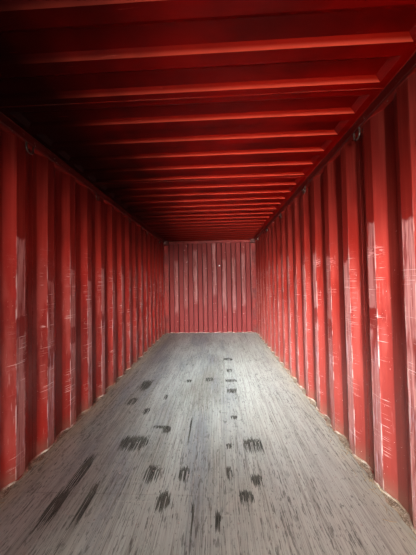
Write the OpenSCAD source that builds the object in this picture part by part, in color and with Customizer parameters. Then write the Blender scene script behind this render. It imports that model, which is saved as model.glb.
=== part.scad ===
// Twenty-foot steel cargo container, corrugated walls, doors folded back along the sides.
// Length runs along X with the closed front end at -X and the door end at +X, Z is up,
// and the origin is on the ground at the centre of the base.

/* [Overall] */
// Outside length over the corner fittings
ext_l = 6058; // [4800:1:9125]
// Outside width over the corner fittings
ext_w = 2438; // [2300:1:2600]
// Outside height over the corner fittings
ext_h = 2591; // [2300:1:2896]

/* [Corner fittings] */
// Length of a fitting along the container
fit_l = 178; // [150:1:200]
// Width of a fitting across the container
fit_w = 162; // [145:1:180]
// Height of a fitting
fit_h = 118; // [110:1:130]
// Thickness of the plate that the twist lock bears on
fit_plate = 28; // [20:1:32]
// Thickness of the other walls of a fitting
fit_wall = 12; // [8:1:15]
// Length of the twist lock aperture
lock_slot_l = 124; // [110:0.5:126]
// Width of the twist lock aperture
lock_slot_w = 63.5; // [55:0.5:66]
// Aperture centre measured from the end of the container
lock_from_end = 101.5; // [95:0.5:105]
// Aperture centre measured from the side of the container
lock_from_side = 89; // [80:0.5:92]
// Length of the sling aperture in the side of a fitting
side_slot_l = 79.5; // [70:0.5:85]
// Length of the sling aperture in the end of a fitting
end_slot_l = 63.5; // [58:0.5:70]
// Height of the sling apertures
sling_slot_h = 51; // [40:0.5:55]

/* [Base frame] */
// Clear height of the base frame above the ground
ground_gap = 14; // [12:0.5:16]
// Height of a bottom side rail
rail_h = 158; // [150:1:170]
// Top flange of a bottom side rail
rail_top_fl = 48; // [44:1:60]
// Bottom flange of a bottom side rail
rail_bot_fl = 30; // [20:1:40]
// Sheet thickness of the bottom side rails
rail_t = 4.5; // [3:0.5:6]
// Set-back of the bottom side rail from the outside width
rail_in = 4; // [2:0.5:8]
// Height of a cross member
beam_h = 122; // [100:1:124]
// Width of the top flange of a cross member
beam_top_fl = 45; // [35:1:60]
// Width of the bottom flange of a cross member
beam_bot_fl = 40; // [30:1:50]
// Sheet thickness of the cross members
beam_t = 4; // [3:0.5:6]
// Greatest spacing of the cross members
beam_pitch = 300; // [260:5:340]
// Sheet thickness of the front sill and the door sill
sill_t = 4; // [3:0.5:6]
// Width of the front sill along the container
sill_w = 63; // [60:1:66]
// Bottom flange of both sills
sill_foot = 44; // [30:1:60]
// Width of the ledge that carries the floor at both sills
ledge_w = 36; // [25:1:45]
// Distance between the two fork pockets
pocket_pitch = 2050; // [1900:10:2100]
// Clear width of a fork pocket
pocket_w = 360; // [350:5:380]
// Clear height of a fork pocket
pocket_h = 115; // [105:1:115]
// Thickness of the pocket top plates
pocket_top_t = 3; // [2:0.5:4]
// Thickness of the straps below the pocket mouths
strap_t = 6; // [4:0.5:6]
// Width of the straps below the pocket mouths
strap_w = 200; // [150:5:250]

/* [Floor] */
// Thickness of the plywood floor
floor_t = 28; // [20:1:29]
// Length of the second plywood sheet of a row
ply_l = 2015; // [1800:5:2440]
// First plywood sheet of the left row
ply_left = 2395; // [1500:5:2440]
// First plywood sheet of the right row
ply_right = 2767; // [1500:5:3000]
// Joint between two plywood sheets
ply_gap = 2; // [1:0.5:4]

/* [Side walls] */
// Sheet thickness of the side walls
wall_t = 1.6; // [1.2:0.1:3]
// Depth of the side wall corrugation
wall_depth = 36; // [30:1:38]
// Flat on the outer face of the side wall corrugation
wall_outer = 72; // [50:1:90]
// Flat on the inner face of the side wall corrugation
wall_inner = 70; // [50:1:90]
// Run of a side wall slope
wall_slope = 68; // [40:1:80]
// Bend radius of the side wall corrugation
wall_bend = 14; // [8:1:20]
// Set-back of the side walls from the outside width
wall_in = 5; // [4:0.5:8]
// First inner flat of the left wall, from the front wall
left_phase = 97; // [80:1:278]
// First inner flat of the right wall, from the front wall
right_phase = 123; // [80:1:278]

/* [Front wall] */
// Sheet thickness of the front wall
front_t = 2; // [1.6:0.1:3]
// Depth of the front wall corrugation
front_depth = 45.6; // [36:0.2:46]
// Flat on the outer face of the front wall corrugation
front_outer = 110; // [80:1:120]
// Flat on the inner face of the front wall corrugation
front_inner = 104; // [80:1:120]
// Run of a front wall slope
front_slope = 18; // [12:1:30]
// Bend radius of the front wall corrugation
front_bend = 9; // [5:1:11]
// Set-back of the front wall from the outside length
front_in = 13; // [10:0.5:14]
// Width of the tear in the front wall
tear_w = 38; // [20:1:60]
// Offset of the tear from the middle of the front wall
tear_y = 258; // [250:1:265]
// Height of the tear above the floor
tear_h = 1741; // [1000:1:1900]

/* [Top frame and roof] */
// Side of the square top side rails and front header
top_rail = 60; // [50:1:80]
// Wall of the top side rails and front header
top_rail_t = 3; // [2:0.5:5]
// Set-back of the top side rails from the outside width
top_rail_in = 2; // [1:0.5:6]
// Sheet thickness of the roof
roof_t = 2; // [1.5:0.1:3]
// Depth of a roof stamping
roof_depth = 20; // [12:1:25]
// Flat on top of a roof stamping
roof_upper = 91; // [70:1:100]
// Flat between two roof stampings
roof_lower = 63.5; // [50:0.5:80]
// Run of the long slopes of a roof stamping
roof_slope = 27.25; // [15:0.25:35]
// Run of the tapered ends of a roof stamping
roof_end_slope = 42; // [20:1:60]
// Flat margin between the stampings and the edge of the roof
roof_margin = 104; // [90:1:140]
// Stampings in a whole roof sheet
roof_per_sheet = 5; // [3:1:7]
// Length of a whole roof sheet
roof_sheet_l = 1063; // [1060:1:1110]
// First whole roof sheet measured from the front wall
roof_first = 256; // [240:1:280]
// Length of the guard plates beside the top fittings
guard_l = 300; // [150:5:500]
// Width of the guard plates
guard_w = 96; // [50:1:100]
// Thickness of the guard plates
guard_t = 3; // [2:0.5:4]
// Clear height of the roof below the top of the fittings
roof_gap = 6; // [4:1:12]
// Joint between two roof sheets
roof_joint = 0.6; // [0.4:0.1:2]

/* [Posts] */
// Sheet thickness of the front posts and the outer rear posts
post_t = 6; // [4:0.5:8]
// Depth of a front post along the container
post_l = 110; // [90:1:150]
// Width of a front post across the container
post_w = 120; // [100:1:140]
// Set-back of the front posts from the outside faces
post_in = 5; // [3:0.5:10]
// Bevel on the outer corner of a front post
post_bevel = 15; // [8:1:25]
// Set-back of the door frame from the outside length
frame_in = 80; // [78:1:90]
// Set-back of the rear posts from the outside width
rear_in = 3; // [1:0.5:6]
// Flange of the channel that lines the doorway
jamb_fl = 40; // [36:1:46]
// Web of the channel that lines the doorway
jamb_web_t = 12; // [8:1:14]
// Thickness of the flanges of that channel
jamb_fl_t = 10; // [6:1:12]
// Reach of the door header below the top fittings
header_drop = 22; // [12:1:60]
// Depth of the rain gutter over the doors
gutter_w = 26; // [15:1:30]
// Height of the rain gutter's fixed leg
gutter_h = 24; // [15:1:30]
// Height of the rain gutter's free lip
gutter_lip = 12; // [6:1:20]
// Thickness of the rain gutter
gutter_t = 3; // [2:0.5:4]
// Sheet thickness of the door header
header_t = 4; // [3:0.5:6]

/* [Doors] */
// Angle that the door leaves are swung open
door_open = 270; // [180:1:270]
// Pin centre measured from the outside faces
pin_in = 16; // [14:0.5:18]
// Radius of a hinge pin
pin_r = 8; // [6:0.5:9]
// Height of a hinge knuckle
knuckle_h = 64; // [40:1:90]
// Thickness of a hinge lug
lug_h = 16; // [10:1:20]
// Thickness of a hinge blade
blade_t = 10; // [8:0.5:12]
// Middle of the outermost hinges from the end of the leaf
hinge_end = 180; // [120:5:300]
// Hinges on a leaf
hinge_n = 4; // [3:1:5]
// Thickness of a leaf's frame
leaf_t = 50; // [40:1:60]
// Width of the upright frame members of a leaf
stile_w = 100; // [80:1:120]
// Height of the top and bottom members of a leaf
crossrail_h = 150; // [100:1:200]
// Wall of the leaf's frame members
leaf_wall = 3.2; // [2.5:0.1:5]
// Sheet thickness of the leaf panels
panel_t = 2; // [1.6:0.1:3]
// Gap between a leaf and the doorway
leaf_gap = 12; // [10:0.5:16]
// Thickness of the seal where it covers the leaf
seal_t = 5; // [3:0.5:8]
// Width of the seal on the inner face of the leaf
seal_w = 30; // [15:1:45]
// Depth of the seal along the edge of the leaf
seal_d = 26; // [15:1:40]
// Thickness of the rings and base plates of the bar guides
guide_ring = 5; // [4:0.5:6]
// Height of a bar guide's ring
guide_h = 30; // [20:1:40]
// Width of a bar guide's base plate
guide_w = 68; // [56:1:72]
// Middle bar guides measured from the ends of the leaf
guide_end = 580; // [300:10:700]
// Outside radius of a locking bar
bar_r = 17; // [14:0.5:18]
// Wall of a locking bar
bar_wall = 4; // [3:0.5:6]
// Gap between the locking bars and the leaf
bar_gap = 6; // [5:0.5:10]
// Width of the nose of a cam
nose_w = 48; // [36:1:54]
// Width of a cam keeper
keeper_w = 112; // [100:1:120]
// Height of a cam keeper
keeper_h = 48; // [36:1:56]
// Thickness of a cam keeper's base plate
keeper_t = 6; // [4:0.5:8]
// Reach of a keeper's horns
horn_l = 30; // [26:1:34]
// Height of a cam
cam_h = 30; // [20:1:40]
// Height of the lower handles above the floor
handle_h = 880; // [700:10:1100]
// Height between the upper and lower handles
handle_step = 180; // [120:10:260]
// Thickness of a handle
handle_t = 9; // [6:0.5:12]
// Length of a handle from its bar
handle_l = 430; // [300:10:480]
// Width of the catch that holds a handle
catch_w = 56; // [40:1:66]
// Thickness of the ears on a handle's hub
ear_t = 6; // [4:0.5:8]
// Width of a handle
handle_w = 42; // [30:1:50]

/* [Fittings] */
// Radius of the rod of a lashing ring
ring_rod = 6; // [5:0.5:8]
// Inside radius of a lashing ring
ring_r = 24; // [18:1:32]
// Straight leg of a lashing ring
ring_leg = 34; // [20:1:50]
// Lashing rings on a side
ring_n = 6; // [3:1:8]
// Distance between two lashing rings
ring_pitch = 930; // [700:5:1000]
// First lashing ring measured from the front wall
ring_first = 520; // [300:5:600]
// Tie-back loop measured from the free edge of an open leaf
loop_gap = 60; // [30:5:120]
// Tie-back loop below the top of the bottom side rail
loop_drop = 46; // [40:1:60]
// Width of a ventilator
vent_w = 186; // [150:1:190]
// Height of a ventilator
vent_h = 96; // [80:1:130]
// Depth of a ventilator
vent_d = 33; // [20:0.5:34]
// Top of a ventilator below the top side rail
vent_drop = 40; // [20:1:120]

/* [Hidden] */
$fn = 48;

wall_red = [0.66, 0.16, 0.13];
frame_red = [0.55, 0.12, 0.10];
roof_red = [0.45, 0.10, 0.09];
steel = [0.58, 0.57, 0.55];
plywood = [0.55, 0.50, 0.44];
black_rubber = [0.08, 0.08, 0.08];
eps = 1;
bend_steps = 3;
floor_step = 1;
beam_clear = 2;
floor_fit = 1;
sill_lip = 9;
roof_edge = 5;
stamp_clear = 30;
side_clear = 1;
leaf_meet = 8;
bar_past = 14;
pin_clear = 0.4;
seat_clear = 0.3;

half_l = ext_l / 2;
half_w = ext_w / 2;

rail_top_z = ground_gap + rail_h;
floor_z = rail_top_z - floor_step;
beam_top_z = floor_z - floor_t;
beam_z = beam_top_z - beam_h;
rail_y = half_w - rail_in;
rail_web_y = rail_y - rail_t;
rail_edge_y = rail_y - rail_top_fl;

roof_z = ext_h - roof_gap - roof_depth - roof_t;
top_rail_z = roof_z - top_rail;
top_rail_y = half_w - top_rail_in;

wall_out_y = half_w - wall_in;
wall_in_y = wall_out_y - wall_depth - wall_t;
wall_pitch = wall_outer + wall_inner + 2 * wall_slope;
front_out_x = -half_l + front_in;
front_in_x = front_out_x + front_depth + front_t;
front_pitch = front_outer + front_inner + 2 * front_slope;

post_x = -half_l + post_in + post_l;
post_y = half_w - post_in - post_w;
frame_x = half_l - frame_in;
jamb_y = half_w - rear_in - post_t - jamb_fl;
rear_x = half_l - fit_l;
doorway_z = ext_h - fit_h - header_drop;
front_sill_x = front_in_x + sill_lip;
floor_x0 = front_sill_x + floor_fit;
sill_step_x = rear_x + sill_lip / 3;
floor_x1 = sill_step_x - floor_fit;

roof_pitch = roof_upper + roof_lower + 2 * roof_slope;
roof_half_w = top_rail_y - roof_edge;
stamp_l = roof_upper + 2 * roof_slope;
stamp_half = roof_half_w - roof_margin;
stamp_short = half_w - fit_w - stamp_clear;

pin_x = half_l - pin_in;
pin_y = half_w - pin_in;
leaf_w0 = leaf_gap + pin_y - jamb_y;
bar_t = pin_in + side_clear + bar_r + guide_ring;
leaf_face = bar_t + bar_r + bar_gap;
leaf_back = leaf_face + leaf_t;
cam_end = 0.8 * cam_h;
leaf_w1 = pin_y - leaf_meet;
leaf_z0 = floor_z + leaf_gap;
leaf_z1 = doorway_z - leaf_gap;
panel_w0 = leaf_w0 + stile_w;
panel_w1 = leaf_w1 - stile_w;
panel_mid = (panel_w0 + panel_w1) / 2;
bar_w = [panel_mid - wall_pitch / 2, panel_mid + 1.5 * wall_pitch];
bar_z0 = fit_h - bar_past;
bar_z1 = ext_h - fit_h + bar_past + header_drop / 2;
knuckle_r = pin_in - side_clear;
hinge_step = (leaf_z1 - leaf_z0 - 2 * hinge_end) / (hinge_n - 1);
hinge_z = [for (i = [0 : hinge_n - 1]) leaf_z0 + hinge_end + i * hinge_step];
guide_z = [leaf_z0 + crossrail_h / 2, leaf_z0 + guide_end, leaf_z1 - guide_end, leaf_z1 - crossrail_h / 2];

function unit(v) = v / norm(v);
function left_of(v) = [-v[1], v[0]];
function side_of(p, i) = left_of(unit(p[i + 1] - p[i]));
// Point i of a path moved to its left by t, with mitred corners.
function moved(p, i, t) =
    i == 0 ? p[0] + t * side_of(p, 0)
    : i == len(p) - 1 ? p[i] + t * side_of(p, i - 1)
    : let (a = side_of(p, i - 1), b = side_of(p, i)) p[i] + t * (a + b) / (1 + a * b);
function strip_outline(p, t) = concat(p, [for (i = [len(p) - 1 : -1 : 0]) moved(p, i, t)]);

function turned(v, a) = [v[0] * cos(a) - v[1] * sin(a), v[0] * sin(a) + v[1] * cos(a)];

// Path with every inner corner bent on radius r, in n straight steps.
function bent(p, r, n) = [
    for (i = [0 : len(p) - 1])
        if (i == 0 || i == len(p) - 1) p[i]
        else let (
            a = unit(p[i] - p[i - 1]),
            b = unit(p[i + 1] - p[i]),
            turn = atan2(a[0] * b[1] - a[1] * b[0], a * b),
            side = sign(turn),
            centre = p[i] - r * tan(abs(turn) / 2) * a + side * r * left_of(a)
        ) each [for (k = [0 : n]) centre - side * r * turned(left_of(a), k * turn / n)]
];

// Path of a corrugated sheet: the inner flat number n starts at phase + n * pitch.
function corrugation(n0, n1, phase, pitch, inner, outer, slope, depth) = [
    for (n = [n0 : n1]) let (x = phase + n * pitch)
        each [[x, 0], [x + inner, 0], [x + inner + slope, depth], [x + inner + slope + outer, depth]]
];

module both_sides() {
    children();
    mirror([0, 1, 0]) children();
}

module along_x(l) {
    rotate([90, 0, 90]) linear_extrude(l, center = true) children();
}

module along_y(l) {
    rotate([90, 0, 0]) linear_extrude(l, center = true) children();
}

module sheet(path, t) {
    polygon(strip_outline(path, t));
}

// Section of a sheet folded along a path, with bends of twice its thickness.
module folded(path, t) {
    sheet(bent(path, 2 * abs(t), bend_steps), t);
}

// Rectangle with round corners, its lowest corner at the origin.
module soft_rectangle(l, w, r) {
    translate([r, 0]) square([l - 2 * r, w]);
    translate([0, r]) square([l, w - 2 * r]);
    for (x = [r, l - r], y = [r, w - r]) translate([x, y]) circle(r);
}

// A box given by its lowest and highest corners.
module block(low, high) {
    translate(low) cube(high - low);
}

module stadium(l, w) {
    square([l - w, w], center = true);
    for (s = [-1, 1]) translate([s * (l - w) / 2, 0]) circle(d = w);
}

// Space taken by the eight corner fittings.
module fitting_space() {
    for (x = [-1, 1], y = [-1, 1], z = [0, 1])
        translate([x * (half_l - fit_l / 2), y * (half_w - fit_w / 2), z * (ext_h - fit_h) + fit_h / 2])
            cube([fit_l, fit_w, fit_h], center = true);
}

// Bottom fitting at the corner where x and y are positive.
module fitting() {
    lock_x = half_l - lock_from_end;
    lock_y = half_w - lock_from_side;
    sling_z = (fit_plate + fit_h) / 2;
    difference() {
        block([half_l - fit_l, half_w - fit_w, 0], [half_l, half_w, fit_h]);
        block([half_l - fit_l + fit_wall, half_w - fit_w + fit_wall, fit_plate],
            [half_l - fit_wall, half_w - fit_wall, fit_h - fit_wall]);
        translate([lock_x, lock_y, -eps]) linear_extrude(fit_plate + 2 * eps)
            stadium(lock_slot_l, lock_slot_w);
        translate([lock_x, half_w - fit_wall / 2, sling_z])
            along_y(fit_wall + 2 * eps) stadium(side_slot_l, sling_slot_h);
        translate([half_l - fit_wall / 2, lock_y, sling_z])
            along_x(fit_wall + 2 * eps) stadium(end_slot_l, sling_slot_h);
    }
}

module four_fittings() {
    both_sides() {
        fitting();
        mirror([1, 0, 0]) fitting();
    }
}

module bottom_corner_fittings() {
    color(frame_red) four_fittings();
}

module top_corner_fittings() {
    color(frame_red) translate([0, 0, ext_h]) mirror([0, 0, 1]) four_fittings();
}

// Open pressed section with a bevelled outer corner and two returns.
module front_post() {
    u0 = -half_l + post_in;
    v0 = half_w - post_in;
    u1 = post_x;
    v1 = post_y;
    path = [[u1, wall_in_y], [u1, v0], [u0 + post_bevel, v0], [u0, v0 - post_bevel],
        [u0, v1], [front_in_x, v1]];
    translate([0, 0, fit_h]) linear_extrude(ext_h - 2 * fit_h) folded(path, post_t);
}

module right_front_post() {
    color(frame_red) front_post();
}

module left_front_post() {
    color(frame_red) mirror([0, 1, 0]) front_post();
}

// Outer half of a rear post: the side face and the leg that the wall meets.
module rear_post() {
    y1 = half_w - rear_in;
    path = [[frame_x, y1], [rear_x, y1], [rear_x, jamb_y]];
    translate([0, 0, fit_h]) linear_extrude(ext_h - 2 * fit_h) sheet(path, post_t);
}

module right_rear_post() {
    color(frame_red) rear_post();
}

module left_rear_post() {
    color(frame_red) mirror([0, 1, 0]) rear_post();
}

// Rolled channel with its web towards the doorway.
module door_jamb() {
    x0 = rear_x + post_t;
    translate([0, 0, fit_h]) linear_extrude(ext_h - 2 * fit_h) difference() {
        translate([x0, jamb_y]) square([frame_x - x0, jamb_fl]);
        translate([x0 + jamb_fl_t, jamb_y + jamb_web_t])
            square([frame_x - x0 - 2 * jamb_fl_t, jamb_fl]);
    }
}

module right_door_jamb() {
    color(frame_red) door_jamb();
}

module left_door_jamb() {
    color(frame_red) mirror([0, 1, 0]) door_jamb();
}

module bottom_rail() {
    path = [[rail_y - rail_bot_fl, ground_gap], [rail_y, ground_gap],
        [rail_y, rail_top_z], [rail_edge_y, rail_top_z]];
    difference() {
        translate([(post_x + rear_x) / 2, 0, 0]) along_x(rear_x - post_x) folded(path, rail_t);
        fitting_space();
        for (s = [-1, 1])
            block([s * pocket_pitch / 2 - pocket_w / 2, rail_web_y - eps, beam_z],
                [s * pocket_pitch / 2 + pocket_w / 2, rail_y + eps, beam_z + pocket_h]);
    }
}

module right_bottom_rail() {
    color(frame_red) bottom_rail();
}

module left_bottom_rail() {
    color(frame_red) mirror([0, 1, 0]) bottom_rail();
}

module square_tube() {
    inside = top_rail - 2 * top_rail_t;
    difference() {
        soft_rectangle(top_rail, top_rail, 2 * top_rail_t);
        translate([top_rail_t, top_rail_t]) soft_rectangle(inside, inside, top_rail_t);
    }
}

module top_rail_bar() {
    translate([0, top_rail_y - top_rail, top_rail_z]) along_x(2 * rear_x) square_tube();
}

module right_top_rail() {
    color(frame_red) top_rail_bar();
}

module left_top_rail() {
    color(frame_red) mirror([0, 1, 0]) top_rail_bar();
}

module front_header() {
    color(frame_red) translate([front_in_x + sill_lip - top_rail, 0, top_rail_z])
        along_y(ext_w - 2 * fit_w) square_tube();
}

// Pressed sill: foot, face, top, down to the ledge that carries the floor.
module front_sill() {
    x0 = front_in_x + sill_lip - sill_w;
    path = [[front_sill_x + ledge_w, beam_top_z], [front_sill_x, beam_top_z],
        [front_sill_x, rail_top_z], [x0, rail_top_z], [x0, ground_gap], [x0 + sill_foot, ground_gap]];
    color(frame_red) difference() {
        along_y(2 * post_y) folded(path, sill_t);
        fitting_space();
    }
}

module door_sill() {
    path = [[frame_x - sill_foot, ground_gap], [frame_x, ground_gap], [frame_x, floor_z],
        [sill_step_x, floor_z], [sill_step_x, beam_top_z], [sill_step_x - ledge_w, beam_top_z]];
    color(frame_red) difference() {
        along_y(2 * jamb_y) folded(path, sill_t);
        fitting_space();
    }
}

// Closed pressed box over the doorway, let in between the top fittings.
module door_header() {
    color(frame_red) difference() {
        union() {
            block([rear_x, -jamb_y, doorway_z], [frame_x, jamb_y, ext_h - fit_h]);
            block([rear_x, fit_w - half_w, doorway_z], [frame_x, half_w - fit_w, roof_z]);
        }
        block([rear_x + header_t, -jamb_y - eps, doorway_z + header_t],
            [frame_x - header_t, jamb_y + eps, ext_h - fit_h - header_t]);
        block([rear_x + header_t, fit_w - half_w - eps, doorway_z + header_t],
            [frame_x - header_t, half_w - fit_w + eps, roof_z - header_t]);
    }
}

// One cross member with its web at x and both flanges towards +X.
module beam(x) {
    path = [[x + beam_bot_fl, beam_z], [x, beam_z], [x, beam_top_z], [x + beam_top_fl, beam_top_z]];
    along_y(2 * rail_web_y) folded(path, -beam_t);
}

// Evenly spaced stations from x0 to x1, both counted.
function stations(x0, x1) =
    let (n = ceil((x1 - x0) / beam_pitch)) [for (i = [0 : n]) x0 + i * (x1 - x0) / n];

module cross_members() {
    near = pocket_pitch / 2 - pocket_w / 2;
    far = pocket_pitch / 2 + pocket_w / 2;
    front = stations(beam_clear - rear_x, -far);
    middle = stations(-near, near);
    rear = stations(far, sill_step_x - ledge_w - beam_top_fl - beam_clear);
    color(frame_red) {
        for (i = [0 : len(front) - 2]) beam(front[i]);
        for (i = [1 : len(middle) - 2]) beam(middle[i]);
        for (i = [1 : len(rear) - 1]) beam(rear[i]);
    }
}

module pocket(x) {
    for (s = [-1, 1]) translate([x, 0, 0]) mirror([s > 0 ? 0 : 1, 0, 0]) beam(pocket_w / 2);
    block([x - pocket_w / 2, -rail_web_y, beam_top_z - pocket_top_t],
        [x + pocket_w / 2, rail_web_y, beam_top_z]);
    both_sides() block([x - pocket_w / 2 - beam_bot_fl, rail_y - rail_bot_fl - strap_w, beam_z - strap_t],
        [x + pocket_w / 2 + beam_bot_fl, rail_y - rail_bot_fl, beam_z]);
}

module fork_pockets() {
    color(frame_red) for (s = [-1, 1]) pocket(s * pocket_pitch / 2);
}

// One row of plywood, starting at the front with a sheet of the given length.
module ply_row(y0, y1, first) {
    joints = [for (x = [front_in_x + first : ply_l : floor_x1 - ply_l / 8]) x];
    cuts = concat([floor_x0], joints, [floor_x1]);
    for (i = [0 : len(cuts) - 2])
        block([cuts[i] + (i > 0 ? ply_gap / 2 : 0), y0, beam_top_z],
            [cuts[i + 1] - (i < len(cuts) - 2 ? ply_gap / 2 : 0), y1, floor_z]);
}

module floor_sheets() {
    y1 = rail_edge_y - floor_fit;
    color(plywood) {
        ply_row(-y1, -ply_gap / 2, ply_left);
        ply_row(ply_gap / 2, y1, ply_right);
    }
}

module side_wall(phase) {
    x0 = front_in_x + phase - 2 * wall_pitch;
    n = ceil((rear_x - x0) / wall_pitch);
    path = corrugation(0, n, x0, wall_pitch, wall_inner, wall_outer, wall_slope, wall_depth);
    difference() {
        translate([0, wall_in_y, rail_top_z]) linear_extrude(top_rail_z - rail_top_z)
            intersection() {
                sheet(bent(path, wall_bend, bend_steps), wall_t);
                translate([post_x, -eps]) square([rear_x - post_x, wall_depth + wall_t + 2 * eps]);
            }
        fitting_space();
    }
}

module right_wall() {
    color(wall_red) side_wall(right_phase);
}

module left_wall() {
    color(wall_red) mirror([0, 1, 0]) side_wall(left_phase);
}

// Outline of the tear, a rough round hole with bent points.
module tear_outline() {
    rough = [1, 0.72, 0.95, 0.66, 1.05, 0.8, 0.9, 0.7, 0.98];
    polygon([for (i = [0 : len(rough) - 1]) tear_w / 2 * rough[i]
        * [cos(360 * i / len(rough)), sin(360 * i / len(rough))]]);
}

module front_wall() {
    n = ceil(ext_w / front_pitch / 2);
    path = corrugation(-n, n, front_slope + front_outer / 2, front_pitch, front_inner, front_outer,
        front_slope, front_depth);
    color(wall_red) difference() {
        translate([front_in_x, 0, rail_top_z]) rotate([0, 0, 90]) linear_extrude(top_rail_z - rail_top_z)
            intersection() {
                sheet(bent(path, front_bend, bend_steps), front_t);
                translate([-post_y, -eps]) square([2 * post_y, front_depth + front_t + 2 * eps]);
            }
        translate([front_out_x, tear_y, floor_z + tear_h]) along_x(4 * front_t) tear_outline();
        fitting_space();
    }
}

// Section of a stamping: a trapezium with the given slopes, over a skirt.
module trapezium(l, slope, skirt) {
    polygon([[-l / 2, -skirt], [l / 2, -skirt], [l / 2, 0], [l / 2 - slope, roof_depth],
        [slope - l / 2, roof_depth], [-l / 2, 0]]);
}

// Raised die stamping: long slopes along Y and tapered closed ends.
module stamping(l, w, skirt) {
    intersection() {
        along_y(w) trapezium(l, roof_slope, skirt);
        along_x(l) trapezium(w, roof_end_slope, skirt);
    }
}

function stamp_w(x) = 2 * (abs(x) + stamp_l / 2 + stamp_clear / 3 > rear_x ? stamp_short : stamp_half);

// A roof sheet from x0 to x1 with its stampings centred at the stations given.
module roof_sheet(x0, x1, stations) {
    difference() {
        union() {
            block([x0 + roof_joint / 2, -roof_half_w, 0], [x1 - roof_joint / 2, roof_half_w, roof_t]);
            for (x = stations) translate([x, 0, roof_t]) stamping(stamp_l, stamp_w(x), roof_t);
        }
        for (x = stations) translate([x, 0, 0]) stamping(stamp_l, stamp_w(x), eps);
        translate([0, 0, -roof_z]) fitting_space();
    }
}

module roof_sheets() {
    edge = (roof_sheet_l - (roof_per_sheet - 1) * roof_pitch) / 2;
    x0 = front_in_x + roof_first;
    n = floor((frame_x - x0) / roof_sheet_l);
    x1 = x0 + n * roof_sheet_l;
    rest = floor((frame_x - x1 - stamp_clear) / roof_pitch);
    color(roof_red) translate([0, 0, roof_z]) {
        roof_sheet(front_in_x + sill_lip - top_rail, x0, [x0 - edge]);
        for (i = [0 : n - 1])
            roof_sheet(x0 + i * roof_sheet_l, x0 + (i + 1) * roof_sheet_l,
                [for (k = [0 : roof_per_sheet - 1]) x0 + i * roof_sheet_l + edge + k * roof_pitch]);
        roof_sheet(x1, frame_x, [for (k = [0 : rest - 1]) x1 + edge + k * roof_pitch]);
    }
}

// Plates that guard the roof beside the top fittings.
module roof_corner_plates() {
    color(roof_red) both_sides() for (s = [-1, 1]) mirror([s > 0 ? 0 : 1, 0, 0])
        block([rear_x - guard_l, roof_half_w - guard_w, roof_z + roof_t],
            [rear_x - side_clear, roof_half_w, roof_z + roof_t + guard_t]);
}

// Angle above the doors that leads rain to the sides.
module rain_gutter() {
    z = roof_z - gutter_lip;
    x = frame_x + gutter_w;
    path = [[frame_x, z - gutter_h], [frame_x, z], [x, z], [x, roof_z]];
    color(frame_red) along_y(ext_w - 2 * fit_w - 2 * side_clear) sheet(path, -gutter_t);
}

// Loop on the outside of a bottom side rail, where a door leaf is tied back.
module tie_back_loops() {
    r = ring_r + ring_rod;
    x = pin_x - leaf_w1 - loop_gap;
    color(steel) both_sides() translate([x, rail_y, rail_top_z - loop_drop]) rotate([0, 90, 0])
        rotate_extrude(angle = 180) translate([r, 0]) circle(ring_rod);
}

// Ventilator hood in the outer recess of a wall, with a slot along its lower edge.
module ventilator(x) {
    y0 = wall_in_y + wall_t + seat_clear;
    y1 = y0 + vent_d;
    base = vent_w / 2 - vent_d * wall_slope / wall_depth;
    translate([x, 0, top_rail_z - vent_drop - vent_h]) difference() {
        linear_extrude(vent_h) polygon([[-base, y0], [base, y0], [vent_w / 2, y1], [-vent_w / 2, y1]]);
        translate([-vent_w / 4, y0 + vent_d / 4, -eps]) cube([vent_w / 2, vent_d / 2, vent_h / 3]);
    }
}

function recess_x(phase, n) = front_in_x + phase + wall_inner / 2 + n * wall_pitch;

module ventilators() {
    color(frame_red) {
        ventilator(recess_x(right_phase, 1));
        mirror([0, 1, 0]) ventilator(recess_x(left_phase, 13));
    }
}

// U-shaped rod that hangs from the top side rail.
module lashing_ring(x) {
    r = ring_r + ring_rod;
    translate([x, wall_in_y - 1.6 * ring_rod, top_rail_z - ring_leg]) {
        for (s = [-1, 1]) translate([s * r, 0, 0]) cylinder(r = ring_rod, h = ring_leg);
        rotate([90, 180, 0]) rotate_extrude(angle = 180) translate([r, 0]) circle(ring_rod);
    }
}

module lashing_rings() {
    color(steel) both_sides() for (i = [0 : ring_n - 1])
        lashing_ring(front_in_x + ring_first + i * ring_pitch);
}

// Lug plate outline: from the rear face of the post out to the round eye.
module lug_outline() {
    difference() {
        union() {
            translate([pin_x, pin_y]) circle(knuckle_r);
            polygon([[frame_x, jamb_y + jamb_web_t], [pin_x, pin_y - knuckle_r],
                [pin_x, pin_y + knuckle_r], [frame_x, pin_y + knuckle_r - rear_in]]);
        }
        translate([pin_x, pin_y]) circle(pin_r + pin_clear);
    }
}

module hinge_lugs() {
    off = (knuckle_h + lug_h) / 2 + side_clear;
    color(frame_red) both_sides() for (z = hinge_z, s = [-1, 1])
        translate([0, 0, z + s * off - lug_h / 2]) linear_extrude(lug_h) lug_outline();
}

module hinge_pins() {
    reach = knuckle_h / 2 + side_clear + lug_h;
    color(steel) both_sides() for (z = hinge_z) translate([pin_x, pin_y, z]) {
        translate([0, 0, -reach - pin_r / 2]) cylinder(r = pin_r, h = 2 * reach + pin_r);
        translate([0, 0, reach + pin_clear]) cylinder(r = 1.5 * pin_r, h = pin_r / 2);
    }
}

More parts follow.
